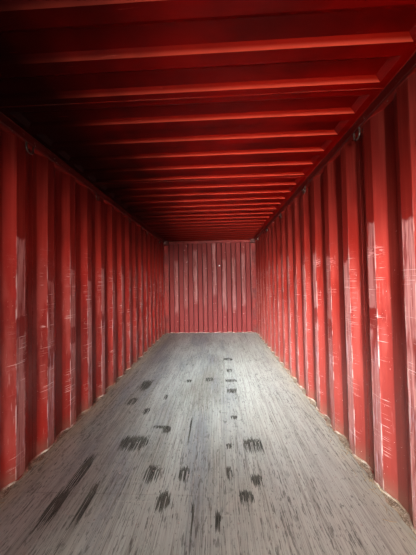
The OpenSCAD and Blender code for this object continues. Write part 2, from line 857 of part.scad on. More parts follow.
// Keeper: base plate with two horns whose lips close over the nose of a cam.
module keeper(w, z) {
    y = pin_y - w;
    x = frame_x + keeper_t;
    mouth = nose_w / 2 + 2 * side_clear;
    lip = 0.15 * horn_l;
    waist = x + 0.45 * horn_l;
    block([frame_x, y - keeper_w / 2, z - keeper_h / 2], [x, y + keeper_w / 2, z + keeper_h / 2]);
    for (s = [-1, 1]) translate([0, y, z - keeper_h / 3]) mirror([0, s > 0 ? 0 : 1, 0])
        linear_extrude(keeper_h / 1.5) polygon([[x, mouth + lip], [waist, mouth + lip], [waist, mouth],
            [x + 0.8 * horn_l, mouth + lip], [x + horn_l, mouth + 3 * lip],
            [waist, mouth + 4.5 * lip], [x, keeper_w / 2 - lip]]);
}

module cam_keepers() {
    color(frame_red) both_sides() for (w = bar_w, z = [bar_z0 + cam_end, bar_z1 - cam_end]) keeper(w, z);
}

// Places a leaf drawn from its pin: X along the leaf, Y from its outer face inwards.
module hang_left() {
    translate([pin_x, -pin_y, 0]) rotate([0, 0, 90 - door_open]) children();
}

module hang_right() {
    mirror([0, 1, 0]) hang_left() children();
}

module leaf_frame() {
    for (w = [leaf_w0, leaf_w1 - stile_w]) translate([w, leaf_face, leaf_z0])
        linear_extrude(leaf_z1 - leaf_z0) difference() {
            soft_rectangle(stile_w, leaf_t, 2 * leaf_wall);
            translate([leaf_wall, leaf_wall])
                soft_rectangle(stile_w - 2 * leaf_wall, leaf_t - 2 * leaf_wall, leaf_wall);
        }
    for (z = [leaf_z0, leaf_z1 - crossrail_h]) difference() {
        block([panel_w0, leaf_face, z], [panel_w1, leaf_back, z + crossrail_h]);
        block([panel_w0 - eps, leaf_face + leaf_wall, z + leaf_wall],
            [panel_w1 + eps, leaf_back + eps, z + crossrail_h - leaf_wall]);
    }
}

module leaf_panel() {
    x0 = panel_mid - wall_inner / 2 - 3 * wall_pitch;
    path = corrugation(0, 6, x0, wall_pitch, wall_inner, wall_outer, wall_slope, -wall_depth);
    z0 = leaf_z0 + crossrail_h;
    z1 = leaf_z1 - crossrail_h;
    translate([0, leaf_face + wall_depth + panel_t, z0]) linear_extrude(z1 - z0) intersection() {
        sheet(bent(path, wall_bend, bend_steps), -panel_t);
        translate([panel_w0, -wall_depth - panel_t - eps])
            square([panel_w1 - panel_w0, wall_depth + panel_t + 2 * eps]);
    }
}

// Rubber seal round the leaf: a lip on the inner face and a lip past the edge.
module leaf_gasket() {
    lip = leaf_gap - 2 * side_clear;
    meet = leaf_meet - 2 * side_clear;
    difference() {
        block([leaf_w0 - lip, leaf_back - seal_d, leaf_z0 - lip],
            [leaf_w1 + meet, leaf_back + seal_t, leaf_z1 + lip]);
        block([leaf_w0, leaf_face, leaf_z0], [leaf_w1, leaf_back, leaf_z1]);
        block([leaf_w0 + seal_w, leaf_face, leaf_z0 + seal_w],
            [leaf_w1 - seal_w, leaf_back + 2 * seal_t, leaf_z1 - seal_w]);
    }
}

// Hinge blade: knuckle round the pin, gooseneck, and a flat on the upright member.
module leaf_hinges() {
    path = [[0, knuckle_r - blade_t], [knuckle_r / 2, knuckle_r - blade_t / 2],
        [leaf_w0 - blade_t / 2, leaf_face - blade_t], [leaf_w0 + 0.85 * stile_w, leaf_face - blade_t]];
    for (z = hinge_z) translate([0, 0, z - knuckle_h / 2]) linear_extrude(knuckle_h) difference() {
        union() {
            circle(knuckle_r);
            sheet(path, blade_t);
        }
        circle(pin_r + pin_clear);
    }
}

// A cam on the end of a bar: collar, waist and a nose that hooks behind the keeper's horns.
module cam(z) {
    nose = leaf_face - bar_t - bar_gap;
    waist = 0.27 * nose_w;
    translate([0, 0, z - cam_h / 2]) linear_extrude(cam_h) difference() {
        union() {
            circle(bar_r + guide_ring);
            polygon([[-waist, 0], [waist, 0], [waist, nose / 2], [nose_w / 2, nose / 1.5],
                [nose_w / 2, nose], [-nose_w / 2, nose], [-nose_w / 2, nose / 1.5], [-waist, nose / 2]]);
        }
        circle(bar_r - bar_wall);
    }
}

module lock_bars() {
    for (w = bar_w) translate([w, bar_t, 0]) {
        difference() {
            union() {
                translate([0, 0, bar_z0]) cylinder(r = bar_r, h = bar_z1 - bar_z0);
                cam(bar_z0 + cam_end);
                cam(bar_z1 - cam_end);
            }
            translate([0, 0, bar_z0 - eps]) cylinder(r = bar_r - bar_wall, h = bar_z1 - bar_z0 + 2 * eps);
        }
    }
}

// Guide: base plate on the leaf and a ring round the bar.
module bar_guides() {
    face = bar_r + bar_gap;
    for (w = bar_w, z = guide_z) translate([w, bar_t, z]) difference() {
        union() {
            translate([0, 0, -guide_h / 2]) cylinder(r = bar_r + guide_ring, h = guide_h);
            block([-guide_w / 2, face - guide_ring, -0.8 * guide_h], [guide_w / 2, face, 0.8 * guide_h]);
        }
        translate([0, 0, -guide_h]) cylinder(r = bar_r + pin_clear, h = 2 * guide_h);
    }
}

// Handle: hub on the bar, two ears with a pivot bolt, and a flat lever with a round end.
module handle(w, z, dir) {
    hub_r = bar_r + guide_ring;
    ear_z = handle_w / 2 + side_clear;
    ear_r = 0.6 * hub_r;
    pivot = hub_r + 1.2 * ear_r;
    bolt_r = ear_t;
    hub_h = 2 * (ear_z + ear_t);
    ear_mid = ear_z + ear_t / 2;
    translate([w, bar_t, z]) mirror([dir > 0 ? 0 : 1, 0, 0]) difference() {
        union() {
            translate([0, 0, -hub_h / 2]) cylinder(r = hub_r, h = hub_h);
            for (s = [-1, 1]) translate([0, 0, s * ear_mid - ear_t / 2]) linear_extrude(ear_t) {
                translate([0, -ear_r]) square([pivot, 2 * ear_r]);
                translate([pivot, 0]) circle(ear_r);
            }
            translate([pivot, 0, -hub_h / 2 - bolt_r]) cylinder(r = bolt_r, h = hub_h + 2 * bolt_r);
            along_y(handle_t) {
                translate([0, -handle_w / 2]) square([handle_l, handle_w]);
                translate([handle_l, 0]) circle(d = handle_w);
            }
        }
        translate([0, 0, -hub_h]) cylinder(r = bar_r + pin_clear, h = 2 * hub_h);
    }
}

// Catch on the leaf: base plate and a shelf under the lever with an upturned lip.
module catch(w, z) {
    face = bar_r + bar_gap;
    low = -handle_w / 2 - side_clear;
    lip = -handle_t / 2 - side_clear;
    translate([w, bar_t, z]) {
        block([-catch_w / 2, face - guide_ring, low - 0.6 * catch_w], [catch_w / 2, face, handle_w / 2]);
        block([-catch_w / 2, lip - guide_ring, low - guide_ring], [catch_w / 2, face - guide_ring, low]);
        block([-catch_w / 2, lip - guide_ring, low], [catch_w / 2, lip, low + 0.3 * handle_w]);
    }
}

module leaf_handles() {
    z = floor_z + handle_h;
    handle(bar_w[0], z, 1);
    handle(bar_w[1], z + handle_step, -1);
    for (h = [z, z + handle_step]) catch(panel_mid + wall_pitch / 2, h);
}

module left_door_frame() {
    color(frame_red) hang_left() leaf_frame();
}

module left_door_panel() {
    color(wall_red) hang_left() leaf_panel();
}

module left_door_gasket() {
    color(black_rubber) hang_left() leaf_gasket();
}

module left_door_hinges() {
    color(frame_red) hang_left() leaf_hinges();
}

module left_lock_bars() {
    color(steel) hang_left() lock_bars();
}

module left_bar_guides() {
    color(steel) hang_left() bar_guides();
}

module left_door_handles() {
    color(steel) hang_left() leaf_handles();
}

module right_door_frame() {
    color(frame_red) hang_right() leaf_frame();
}

module right_door_panel() {
    color(wall_red) hang_right() leaf_panel();
}

module right_door_gasket() {
    color(black_rubber) hang_right() leaf_gasket();
}

module right_door_hinges() {
    color(frame_red) hang_right() leaf_hinges();
}

module right_lock_bars() {
    color(steel) hang_right() lock_bars();
}

module right_bar_guides() {
    color(steel) hang_right() bar_guides();
}

module right_door_handles() {
    color(steel) hang_right() leaf_handles();
}

bottom_corner_fittings();
top_corner_fittings();
left_front_post();
right_front_post();
left_rear_post();
right_rear_post();
left_door_jamb();
right_door_jamb();
left_bottom_rail();
right_bottom_rail();
left_top_rail();
right_top_rail();
front_sill();
front_header();
door_sill();
door_header();
cross_members();
fork_pockets();
floor_sheets();
left_wall();
right_wall();
front_wall();
roof_sheets();
roof_corner_plates();
rain_gutter();
ventilators();
lashing_rings();
tie_back_loops();
hinge_lugs();
hinge_pins();
cam_keepers();
left_door_frame();
left_door_panel();
left_door_gasket();
left_door_hinges();
left_lock_bars();
left_bar_guides();
left_door_handles();
right_door_frame();
right_door_panel();
right_door_gasket();
right_door_hinges();
right_lock_bars();
right_bar_guides();
right_door_handles();
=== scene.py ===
"""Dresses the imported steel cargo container: paint, plywood, sealant, welds, screws and wear."""

import logging
import math
import random
from dataclasses import dataclass
from enum import Enum
from functools import partial
from typing import Optional, Sequence

import bmesh
import bpy
from mathutils import Matrix, Vector, noise


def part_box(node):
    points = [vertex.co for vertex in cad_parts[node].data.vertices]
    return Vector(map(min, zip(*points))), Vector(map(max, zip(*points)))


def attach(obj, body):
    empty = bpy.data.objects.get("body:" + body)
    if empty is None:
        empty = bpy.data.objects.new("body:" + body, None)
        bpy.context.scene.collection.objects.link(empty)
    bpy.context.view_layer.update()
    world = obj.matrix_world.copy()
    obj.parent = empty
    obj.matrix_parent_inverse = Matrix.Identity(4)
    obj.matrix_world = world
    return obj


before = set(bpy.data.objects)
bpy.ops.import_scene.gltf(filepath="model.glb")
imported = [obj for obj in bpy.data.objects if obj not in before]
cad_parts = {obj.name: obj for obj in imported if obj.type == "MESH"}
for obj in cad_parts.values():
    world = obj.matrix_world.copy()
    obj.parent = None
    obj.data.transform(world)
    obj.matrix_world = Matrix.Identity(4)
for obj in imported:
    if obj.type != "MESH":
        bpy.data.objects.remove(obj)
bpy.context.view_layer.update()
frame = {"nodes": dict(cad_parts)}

log = logging.getLogger("container")

MM = 0.001
SIDES = ((1, "right"), (-1, "left"))
SMOOTH = {"interpolation_type": "SMOOTHSTEP"}
COLOUR = {"data_type": "RGBA"}
ONE_WAY = {"noise_dimensions": "1D"}
TIMES = {"operation": "MULTIPLY"}
MINUS = {"operation": "SUBTRACT"}
SCALED = {"operation": "MULTIPLY_ADD"}
MOST = {"operation": "MAXIMUM"}
UNSIGNED = {"operation": "ABSOLUTE"}
FLOORED = {"operation": "FLOOR"}

Socket = bpy.types.NodeSocket
Span = tuple[float, float]

SEED_STEP = (7.3, 3.1, 5.7)
FINE_SHARE = 0.55
INNER_FACE = (-0.02, -0.12)
COUNT_FROM = 50
LUMP_SCALE = 60.0


class Kind(Enum):
    """The shader nodes that the finishes and the studio are made of."""

    MATH = "ShaderNodeMath"
    RANGE = "ShaderNodeMapRange"
    NOISE = "ShaderNodeTexNoise"
    CELLS = "ShaderNodeTexVoronoi"
    DICE = "ShaderNodeTexWhiteNoise"
    MIX = "ShaderNodeMix"
    MAPPING = "ShaderNodeMapping"
    PLACE = "ShaderNodeTexCoord"
    SPLIT = "ShaderNodeSeparateXYZ"
    VECTOR = "ShaderNodeVectorMath"
    BUMP = "ShaderNodeBump"
    SURFACE = "ShaderNodeBsdfPrincipled"
    OUTPUT = "ShaderNodeOutputMaterial"
    SKY = "ShaderNodeBackground"
    RAY = "ShaderNodeLightPath"
    EITHER = "ShaderNodeMixShader"
    GLOW = "ShaderNodeEmission"
    WORLD = "ShaderNodeOutputWorld"


class Sheet(Enum):
    """Which way the inner face of a sheet looks."""

    SIDE = "side"
    FRONT = "front"
    ROOF = "roof"


class Slot(Enum):
    """The record's material slots."""

    FRAME = "frame_paint"
    WALL = "wall_paint"
    ROOF = "roof_paint"
    ZINC = "zinc_steel"
    PLYWOOD = "plywood"
    SEAL = "seal_rubber"


def linear(code: str) -> tuple[float, float, float, float]:
    """Turns an sRGB hex colour such as "A1B2C3" into a linear RGBA colour.

    Args:
        code: Six hex digits.

    Returns:
        Red, green, blue and alpha as linear values.
    """
    channels = [int(code[i:i + 2], 16) / 255 for i in (0, 2, 4)]
    curved = [c / 12.92 if c <= 0.04045 else ((c + 0.055) / 1.055) ** 2.4 for c in channels]
    return (curved[0], curved[1], curved[2], 1.0)


def node(tree: bpy.types.NodeTree, kind: Kind, settings: Optional[dict] = None, out: int = 0,
         **inputs: object) -> Socket:
    """Adds a node, sets its properties and fills or links its inputs.

    Args:
        tree: The node tree that gets the node.
        kind: What the node is.
        settings: Properties of the node, such as {"operation": "ADD"}.
        out: Number of the output that is wanted.
        **inputs: Input by name with underscores for blanks, or by "i" and its number. A socket is
            linked, a hex colour is turned linear, anything else is set as the input's value.

    Returns:
        The wanted output, or the first input of a node that has no output.
    """
    made = tree.nodes.new(kind.value)
    for name, value in (settings or {}).items():
        setattr(made, name, value)
    for name, value in inputs.items():
        number = name[1:]
        socket = made.inputs[int(number)] if name[0] == "i" and number.isdigit() \
            else made.inputs[name.replace("_", " ")]
        if isinstance(value, Socket):
            tree.links.new(value, socket)
        else:
            socket.default_value = linear(value) if isinstance(value, str) else value
    return made.outputs[out] if len(made.outputs) else made.inputs[0]


class Recipe:
    """A material in the making: its node tree and the places that its patterns read."""

    def __init__(self, name: str) -> None:
        """Starts an empty material.

        Args:
            name: Name of the material.
        """
        self.material = bpy.data.materials.new(name)
        self.material.use_nodes = True
        self.material.node_tree.nodes.clear()
        self.add = partial(node, self.material.node_tree)
        self.place = self.add(Kind.PLACE, out=3)
        self.x, self.y, self.z = self.add(Kind.SPLIT, Vector=self.place).node.outputs
        faces = self.place.node.outputs["Normal"]
        self.nx, self.ny, self.nz = self.add(Kind.SPLIT, Vector=faces).node.outputs

    def mottle(self, size: Sequence[float], detail: float = 3.0, seed: float = 0.0) -> Socket:
        """Soft mottling with patches of a real size.

        Args:
            size: Patch size along X, Y and Z in mm.
            detail: Finer layers on top of the patches.
            seed: Moves the pattern to another part of the noise.

        Returns:
            A value near 0.5, from 0 to 1.
        """
        where = self.add(Kind.MAPPING, Vector=self.place, Location=tuple(seed * step for step in SEED_STEP),
                         Scale=tuple(1 / (s * MM) for s in size))
        return self.add(Kind.NOISE, Vector=where, Scale=1.0, Detail=detail, Roughness=FINE_SHARE)

    def patches(self, size: Sequence[float], low: float, high: float, detail: float = 3.0,
                seed: float = 0.0) -> Socket:
        """Mask of the mottling's high parts.

        Args:
            size: Patch size along X, Y and Z in mm.
            low: Value of the mottling where a patch begins.
            high: Value of the mottling where a patch is full.
            detail: Finer layers on top of the patches.
            seed: Moves the pattern to another part of the noise.

        Returns:
            A mask from 0 to 1.
        """
        return self.add(Kind.RANGE, SMOOTH, Value=self.mottle(size, detail, seed), i1=low, i2=high)

    def stirred(self, value: object, amount: float, size: Sequence[float], detail: float,
                seed: float) -> Socket:
        """Stirs a value with mottling, which makes an edge ragged or a gloss uneven.

        Args:
            value: The value before.
            amount: How much full mottling adds to it.
            size: Patch size along X, Y and Z in mm.
            detail: Finer layers on top of the patches.
            seed: Moves the pattern to another part of the noise.

        Returns:
            The stirred value.
        """
        return self.add(Kind.MATH, SCALED, i0=self.mottle(size, detail, seed), i1=amount, i2=value)

    def meet(self, *masks: object) -> Socket:
        """Finds where masks meet, as their product.

        Args:
            *masks: Masks, and numbers that weaken them.

        Returns:
            The product.
        """
        met = masks[0]
        for mask in masks[1:]:
            met = self.add(Kind.MATH, TIMES, i0=met, i1=mask)
        return met

    def band(self, value: Socket, middle: float, gone: float, full: float) -> Socket:
        """Mask of the values near a middle one.

        Args:
            value: What is looked at.
            middle: The middle of the band.
            gone: Distance from the middle where the mask is gone.
            full: Distance from the middle where the mask is full.

        Returns:
            A mask from 0 to 1.
        """
        away = self.add(Kind.MATH, UNSIGNED, i0=self.add(Kind.MATH, MINUS, i0=value, i1=middle))
        return self.add(Kind.RANGE, SMOOTH, Value=away, i1=gone, i2=full)

    def inner(self, sheet: Sheet) -> tuple[Socket, Socket]:
        """Tells the faces that look into the container from those that look out.

        Args:
            sheet: Which sheet it is.

        Returns:
            The mask of its inner faces and the mask of its outer faces.
        """
        facing = {Sheet.SIDE: (self.y, self.ny), Sheet.FRONT: (self.nx, -1.0), Sheet.ROOF: (self.nz,)}[sheet]
        inside = self.add(Kind.RANGE, SMOOTH, Value=self.meet(*facing), i1=INNER_FACE[0],
                          i2=INNER_FACE[1])
        return inside, self.add(Kind.MATH, SCALED, i0=inside, i1=-1.0, i2=1.0)

    def stack(self, base: object, *coats: tuple) -> Socket:
        """Lays coats over a base, one after the other.

        Args:
            base: Hex colour or socket of the base.
            *coats: For each coat its mask, its colour and, where it is thin, how much of it lies there.

        Returns:
            The colour with all coats on it.
        """
        for mask, coat, *share in coats:
            base = self.add(Kind.MIX, COLOUR, out=2, i0=self.meet(mask, *share), i6=base, i7=coat)
        return base

    def relief(self, *layers: tuple[Socket, float]) -> Socket:
        """Bumped normal from several height patterns.

        Args:
            *layers: For each pattern its socket and its full height in mm.

        Returns:
            The normal.
        """
        height = 0.0
        for pattern, depth in layers:
            height = self.add(Kind.MATH, SCALED, i0=pattern, i1=depth * MM, i2=height)
        return self.add(Kind.BUMP, Height=height, Distance=1.0, Strength=1.0)

    def close(self, colour: object, roughness: object, **values: object) -> bpy.types.Material:
        """Closes the material with its surface.

        Args:
            colour: Base colour.
            roughness: Roughness.
            **values: Other inputs of the surface.

        Returns:
            The finished material.
        """
        surface = self.add(Kind.SURFACE, Base_Color=colour, Roughness=roughness, **values)
        self.add(Kind.OUTPUT, Surface=surface)
        return self.material


def spaced(start: float, end: float, count: int) -> list[float]:
    """Spaces values evenly.

    Args:
        start: The first value.
        end: The last value.
        count: Number of steps between them.

    Returns:
        The values, one more than the steps.
    """
    return [start + (end - start) * i / count for i in range(count + 1)]


@dataclass(frozen=True)
class Layout:
    """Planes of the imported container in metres, and the pitch of its sheets in mm."""

    floor: float
    front: float
    rear: float
    wall: float
    roof: float
    floor_edge: float
    foot: float
    head: float
    start: float
    pitch: float = 278.0
    inner: float = 70.0
    outer: float = 72.0
    slope: float = 68.0
    depth: float = 36.0
    right_phase: float = 123.0
    left_phase: float = 97.0
    front_pitch: float = 250.0
    front_outer: float = 110.0
    front_slope: float = 18.0
    front_depth: float = 45.6

    @classmethod
    def measured(cls) -> "Layout":
        """Reads the planes from the boxes of the CAD nodes."""
        wall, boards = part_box("right_wall"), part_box("floor_sheets")
        return cls(floor=boards[1].z, front=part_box("front_wall")[1].x, rear=wall[1].x, wall=wall[0].y,
                   roof=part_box("roof_sheets")[0].z, floor_edge=boards[1].y, foot=wall[0].z,
                   head=wall[1].z, start=wall[0].x)

    def phase(self, side: int) -> float:
        """First inner flat of a side wall, in mm from the front wall."""
        return self.right_phase if side > 0 else self.left_phase

    def wall_face(self, x: float, side: int) -> float:
        """Finds a side wall's corrugated inner face.

        Args:
            x: Place along the container in metres.
            side: 1 for the right wall and -1 for the left wall.

        Returns:
            Its distance from the middle of the container in metres.
        """
        t = ((x - self.front) / MM - self.phase(side)) % self.pitch
        steps = ((self.inner, 0.0, 0.0), (self.slope, 0.0, self.depth), (self.outer, self.depth, self.depth),
                 (self.slope, self.depth, 0.0))
        for length, begin, end in steps:
            if t <= length:
                return self.wall + (begin + (end - begin) * t / length) * MM
            t -= length
        return self.wall

    def front_line(self, y: float) -> float:
        """Depth of the front wall's inner face behind its inner plane, at a place across it."""
        t = abs((y / MM + self.front_pitch / 2) % self.front_pitch - self.front_pitch / 2)
        rise = (t - self.front_outer / 2) / self.front_slope
        return self.front_depth * MM * (1 - min(max(rise, 0.0), 1.0))


@dataclass(frozen=True)
class Ribs:
    """Where a point of a side wall lies on its corrugation, as sockets.

    The distance from the middle of the nearest rib is in mm. The masks show the rib's flat, and the rib
    with the near part of its slopes. Each rib has three random values of its own, from 0 to 1.
    """

    away: Socket
    flat: Socket
    near: Socket
    luck: tuple[Socket, Socket, Socket]


@dataclass(frozen=True)
class SheetPaint:
    """Alkyd topcoat sprayed on corrugated weathering steel.

    Half-gloss oxide red. Inside, cargo has rubbed it pale on the ribs, down to a chalky pink. It has left
    level scratches and knots of scuffs at one height. Pale lavender streaks low on the rib flats are a
    painted reflection of the floor. The rib edges carry wear and a painted highlight, and painted shade
    darkens the recesses, the rib flats and the upper wall. Outside, sun and rain have faded it in long
    streaks. Heights are in metres above the ground, distances from a rib's middle are in mm, and a span
    says where a mask begins and where it is full.
    """

    layout: Layout
    side: int
    name: str
    seed: float
    base: str = "9E3129"
    deep: str = "82180F"
    bloom: str = "BC5A52"
    dulled: str = "8E3C36"
    # colour of the painted shade on the inner rib flats, darker than the slopes
    flat: str = "7C130C"
    # colour of the painted shade in the recesses and on the upper wall
    shade: str = "4C0B07"
    rubbed: str = "D99B97"
    worn: str = "EED8D3"
    chip: str = "E9DDD4"
    # colour of the painted reflection of the floor, low on the rib flats
    painted_glint: str = "D2BCC8"
    faded: str = "AE4A3C"
    dirt: str = "6E4A3C"
    silt: str = "8C6A5A"
    knots: float = 0.65
    # share of the painted shade that lies in the recesses
    grime: float = 0.62
    haze: float = 0.65
    ragged: float = 0.10
    uneven: float = 0.42
    rub_top: Span = (1.535, 1.515)
    spared_above: Span = (0.97, 0.99)
    spared_below: Span = (0.84, 0.82)
    worn_under: Span = (1.95, 1.25)
    scratched_under: Span = (1.90, 1.50)
    haze_under: Span = (1.55, 0.75)
    painted_glints_under: Span = (1.30, 0.85)
    upper_shade_over: Span = (1.75, 2.75)
    knock: float = 1.47
    knot_band: Span = (0.05, 0.02)
    splash: float = 0.16
    soft: float = 3.0
    near_rib: Span = (90.0, 60.0)
    edge_wear_and_highlight: Span = (5.0, 1.5)

    def ribs(self, r: Recipe) -> Ribs:
        """Finds the ribs.

        Args:
            r: The recipe that gets the nodes.

        Returns:
            Where each point lies on its rib.
        """
        add, plan = r.add, self.layout
        half = (plan.outer / 2 + plan.slope) / plan.pitch
        start = plan.front + (plan.phase(self.side) - COUNT_FROM * plan.pitch) * MM
        count = add(Kind.MATH, SCALED, i0=r.x, i1=1 / (plan.pitch * MM), i2=half - start / (plan.pitch * MM))
        away = add(Kind.MATH, MINUS, i0=add(Kind.MATH, {"operation": "FRACT"}, i0=count), i1=0.5)
        away = r.meet(add(Kind.MATH, UNSIGNED, i0=away), plan.pitch)
        number = add(Kind.MATH, SCALED, i0=add(Kind.MATH, FLOORED, i0=count), i1=1.0, i2=self.seed)
        dice = add(Kind.DICE, ONE_WAY, out=1, W=number)
        flat = add(Kind.RANGE, SMOOTH, Value=away, i1=plan.inner / 2 + self.soft,
                   i2=plan.inner / 2 - self.soft)
        near = add(Kind.RANGE, SMOOTH, Value=away, i1=self.near_rib[0], i2=self.near_rib[1])
        return Ribs(away, flat, near, tuple(add(Kind.SPLIT, Vector=dice).node.outputs))

    def rub(self, r: Recipe, ribs: Ribs) -> Socket:
        """Rubs the ribs where cargo slides along, up to a height that differs from rib to rib.

        Args:
            r: The recipe that gets the nodes.
            ribs: Where each point lies on its rib.

        Returns:
            The mask of the rubbed paint, on both faces of the sheet.
        """
        add = r.add
        high, luck, amount = ribs.luck
        high = add(Kind.MATH, SCALED, i0=high, i1=-self.uneven,
                   i2=r.stirred(r.z, self.ragged, (30, 30, 60), 4, 1))
        top, above, below = (add(Kind.RANGE, SMOOTH, Value=high, i1=gone, i2=full)
                             for gone, full in (self.rub_top, self.spared_above, self.spared_below))
        whole = add(Kind.RANGE, SMOOTH, Value=luck, i1=0.55, i2=0.45)
        kept = add(Kind.MATH, MOST, i0=add(Kind.MATH, MOST, i0=above, i1=below), i1=whole)
        broken = r.patches((28, 40, 330), 0.36, 0.50, 5, self.seed)
        streaks = r.patches((5, 40, 240), 0.22, 0.62, 4, 2 + self.seed)
        share = add(Kind.RANGE, Value=amount, i3=0.38, i4=0.84)
        return r.meet(ribs.flat, top, kept, broken, streaks, share)

    def build(self) -> bpy.types.Material:
        """Mixes the paint.

        Returns:
            The material of one side wall.
        """
        r = Recipe(self.name)
        add, plan, seed = r.add, self.layout, self.seed
        inside, outside = r.inner(Sheet.SIDE)
        ribs = self.ribs(r)
        rubbed = r.meet(self.rub(r, ribs), inside)
        low, belt, glint_band = (add(Kind.RANGE, SMOOTH, Value=r.z, i1=gone, i2=full)
                           for gone, full in (self.worn_under, self.scratched_under, self.painted_glints_under))
        # rib edges: rubbed paint together with a painted highlight along the bend
        edge = r.meet(r.band(ribs.away, plan.inner / 2, *self.edge_wear_and_highlight), low,
                      r.patches((40, 40, 120), 0.46, 0.60, 5, 3 + seed), inside)
        scratch = r.meet(r.patches((260, 260, 5), 0.59, 0.66, 4, 4 + seed),
                         r.patches((170, 170, 110), 0.50, 0.60, 4, 15 + seed), belt, ribs.near, inside)
        chips = r.meet(r.patches((11, 11, 9), 0.735, 0.76, 2, 5 + seed), belt, inside)
        scuff = r.meet(r.patches((9, 9, 130), 0.60, 0.70, 5, 17 + seed), belt,
                       r.patches((120, 120, 300), 0.46, 0.58, 3, 18 + seed), inside)
        # painted reflection: pale lavender streaks low on the rib flats stand for the floor's light mirrored
        # in the gloss
        painted_glints = r.meet(glint_band, r.patches((12, 12, 210), 0.52, 0.66, 4, 21 + seed),
                       r.patches((420, 420, 380), 0.42, 0.56, 3, 22 + seed), ribs.flat, inside)
        knot = r.band(r.stirred(r.z, self.ragged, (90, 90, 90), 3, 19),
                      plan.foot + self.knock + self.ragged / 2, *self.knot_band)
        knot = r.meet(knot, r.patches((34, 34, 9), 0.50, 0.58, 5, 20 + seed), ribs.near, inside,
                      add(Kind.RANGE, Value=ribs.luck[1], i1=0.35, i2=0.75, i4=self.knots))

        # painted shade in the recesses between the ribs
        recess_shade = add(Kind.RANGE, SMOOTH, Value=ribs.away, i1=(plan.pitch - plan.outer) / 2 - 14,
                     i2=plan.pitch / 2 - 30)
        # painted shade: the inner face darkens towards the top of the wall
        painted_shade = add(Kind.RANGE, SMOOTH, Value=r.stirred(r.z, 0.5, (300, 300, 300), 4, 14),
                    i1=self.upper_shade_over[0], i2=self.upper_shade_over[1], i4=0.75)
        haze = add(Kind.RANGE, SMOOTH, Value=r.z, i1=self.haze_under[0], i2=self.haze_under[1], i4=self.haze)
        bloom = r.meet(r.patches((130, 60, 380), 0.46, 0.66, 5, 16 + seed), low, inside)
        foot = add(Kind.RANGE, SMOOTH, Value=r.z, i1=plan.foot + self.splash, i2=plan.foot)
        weather = r.meet(r.patches((50, 60, 900), 0.40, 0.72, 4, 9), outside)
        runs = r.meet(r.patches((14, 20, 420), 0.62, 0.78, 3, 10), outside)
        colour = r.stack(self.base, (r.patches((420, 420, 700), 0.35, 0.68, 3, 6 + seed), self.deep),
                         (bloom, self.bloom, 0.55), (scuff, self.worn, 0.3),
                         # painted shade in the recesses, on the inner rib flats and on the upper wall
                         (r.meet(recess_shade, inside), self.shade, self.grime),
                         (r.meet(ribs.flat, inside), self.flat, 0.7), (r.meet(painted_shade, inside), self.shade),
                         (r.meet(haze, inside), self.dulled), (weather, self.faded),
                         (r.patches((16, 60, 520), 0.42, 0.74, 3, 7 + seed), self.faded, 0.22),
                         (runs, self.dirt), (rubbed, self.rubbed), (scratch, self.worn, 0.85),
                         (edge, self.worn, 0.8), (chips, self.chip), (painted_glints, self.painted_glint, 0.75),
                         (knot, self.rubbed), (r.meet(foot, r.mottle((60, 60, 60), 4, 8)), self.silt))
        gloss = add(Kind.RANGE, Value=rubbed, i3=0.34, i4=0.52)
        gloss = add(Kind.MATH, SCALED, i0=outside, i1=0.18, i2=gloss)
        gloss = r.stirred(gloss, 0.16, (90, 90, 220), 4, 11)
        bump = r.relief((r.mottle((360, 360, 420), 2, 12), 3.0), (r.mottle((5, 5, 5), 2, 13), 0.05),
                        (scratch, -0.12), (rubbed, -0.05))
        return r.close(colour, gloss, Normal=bump)


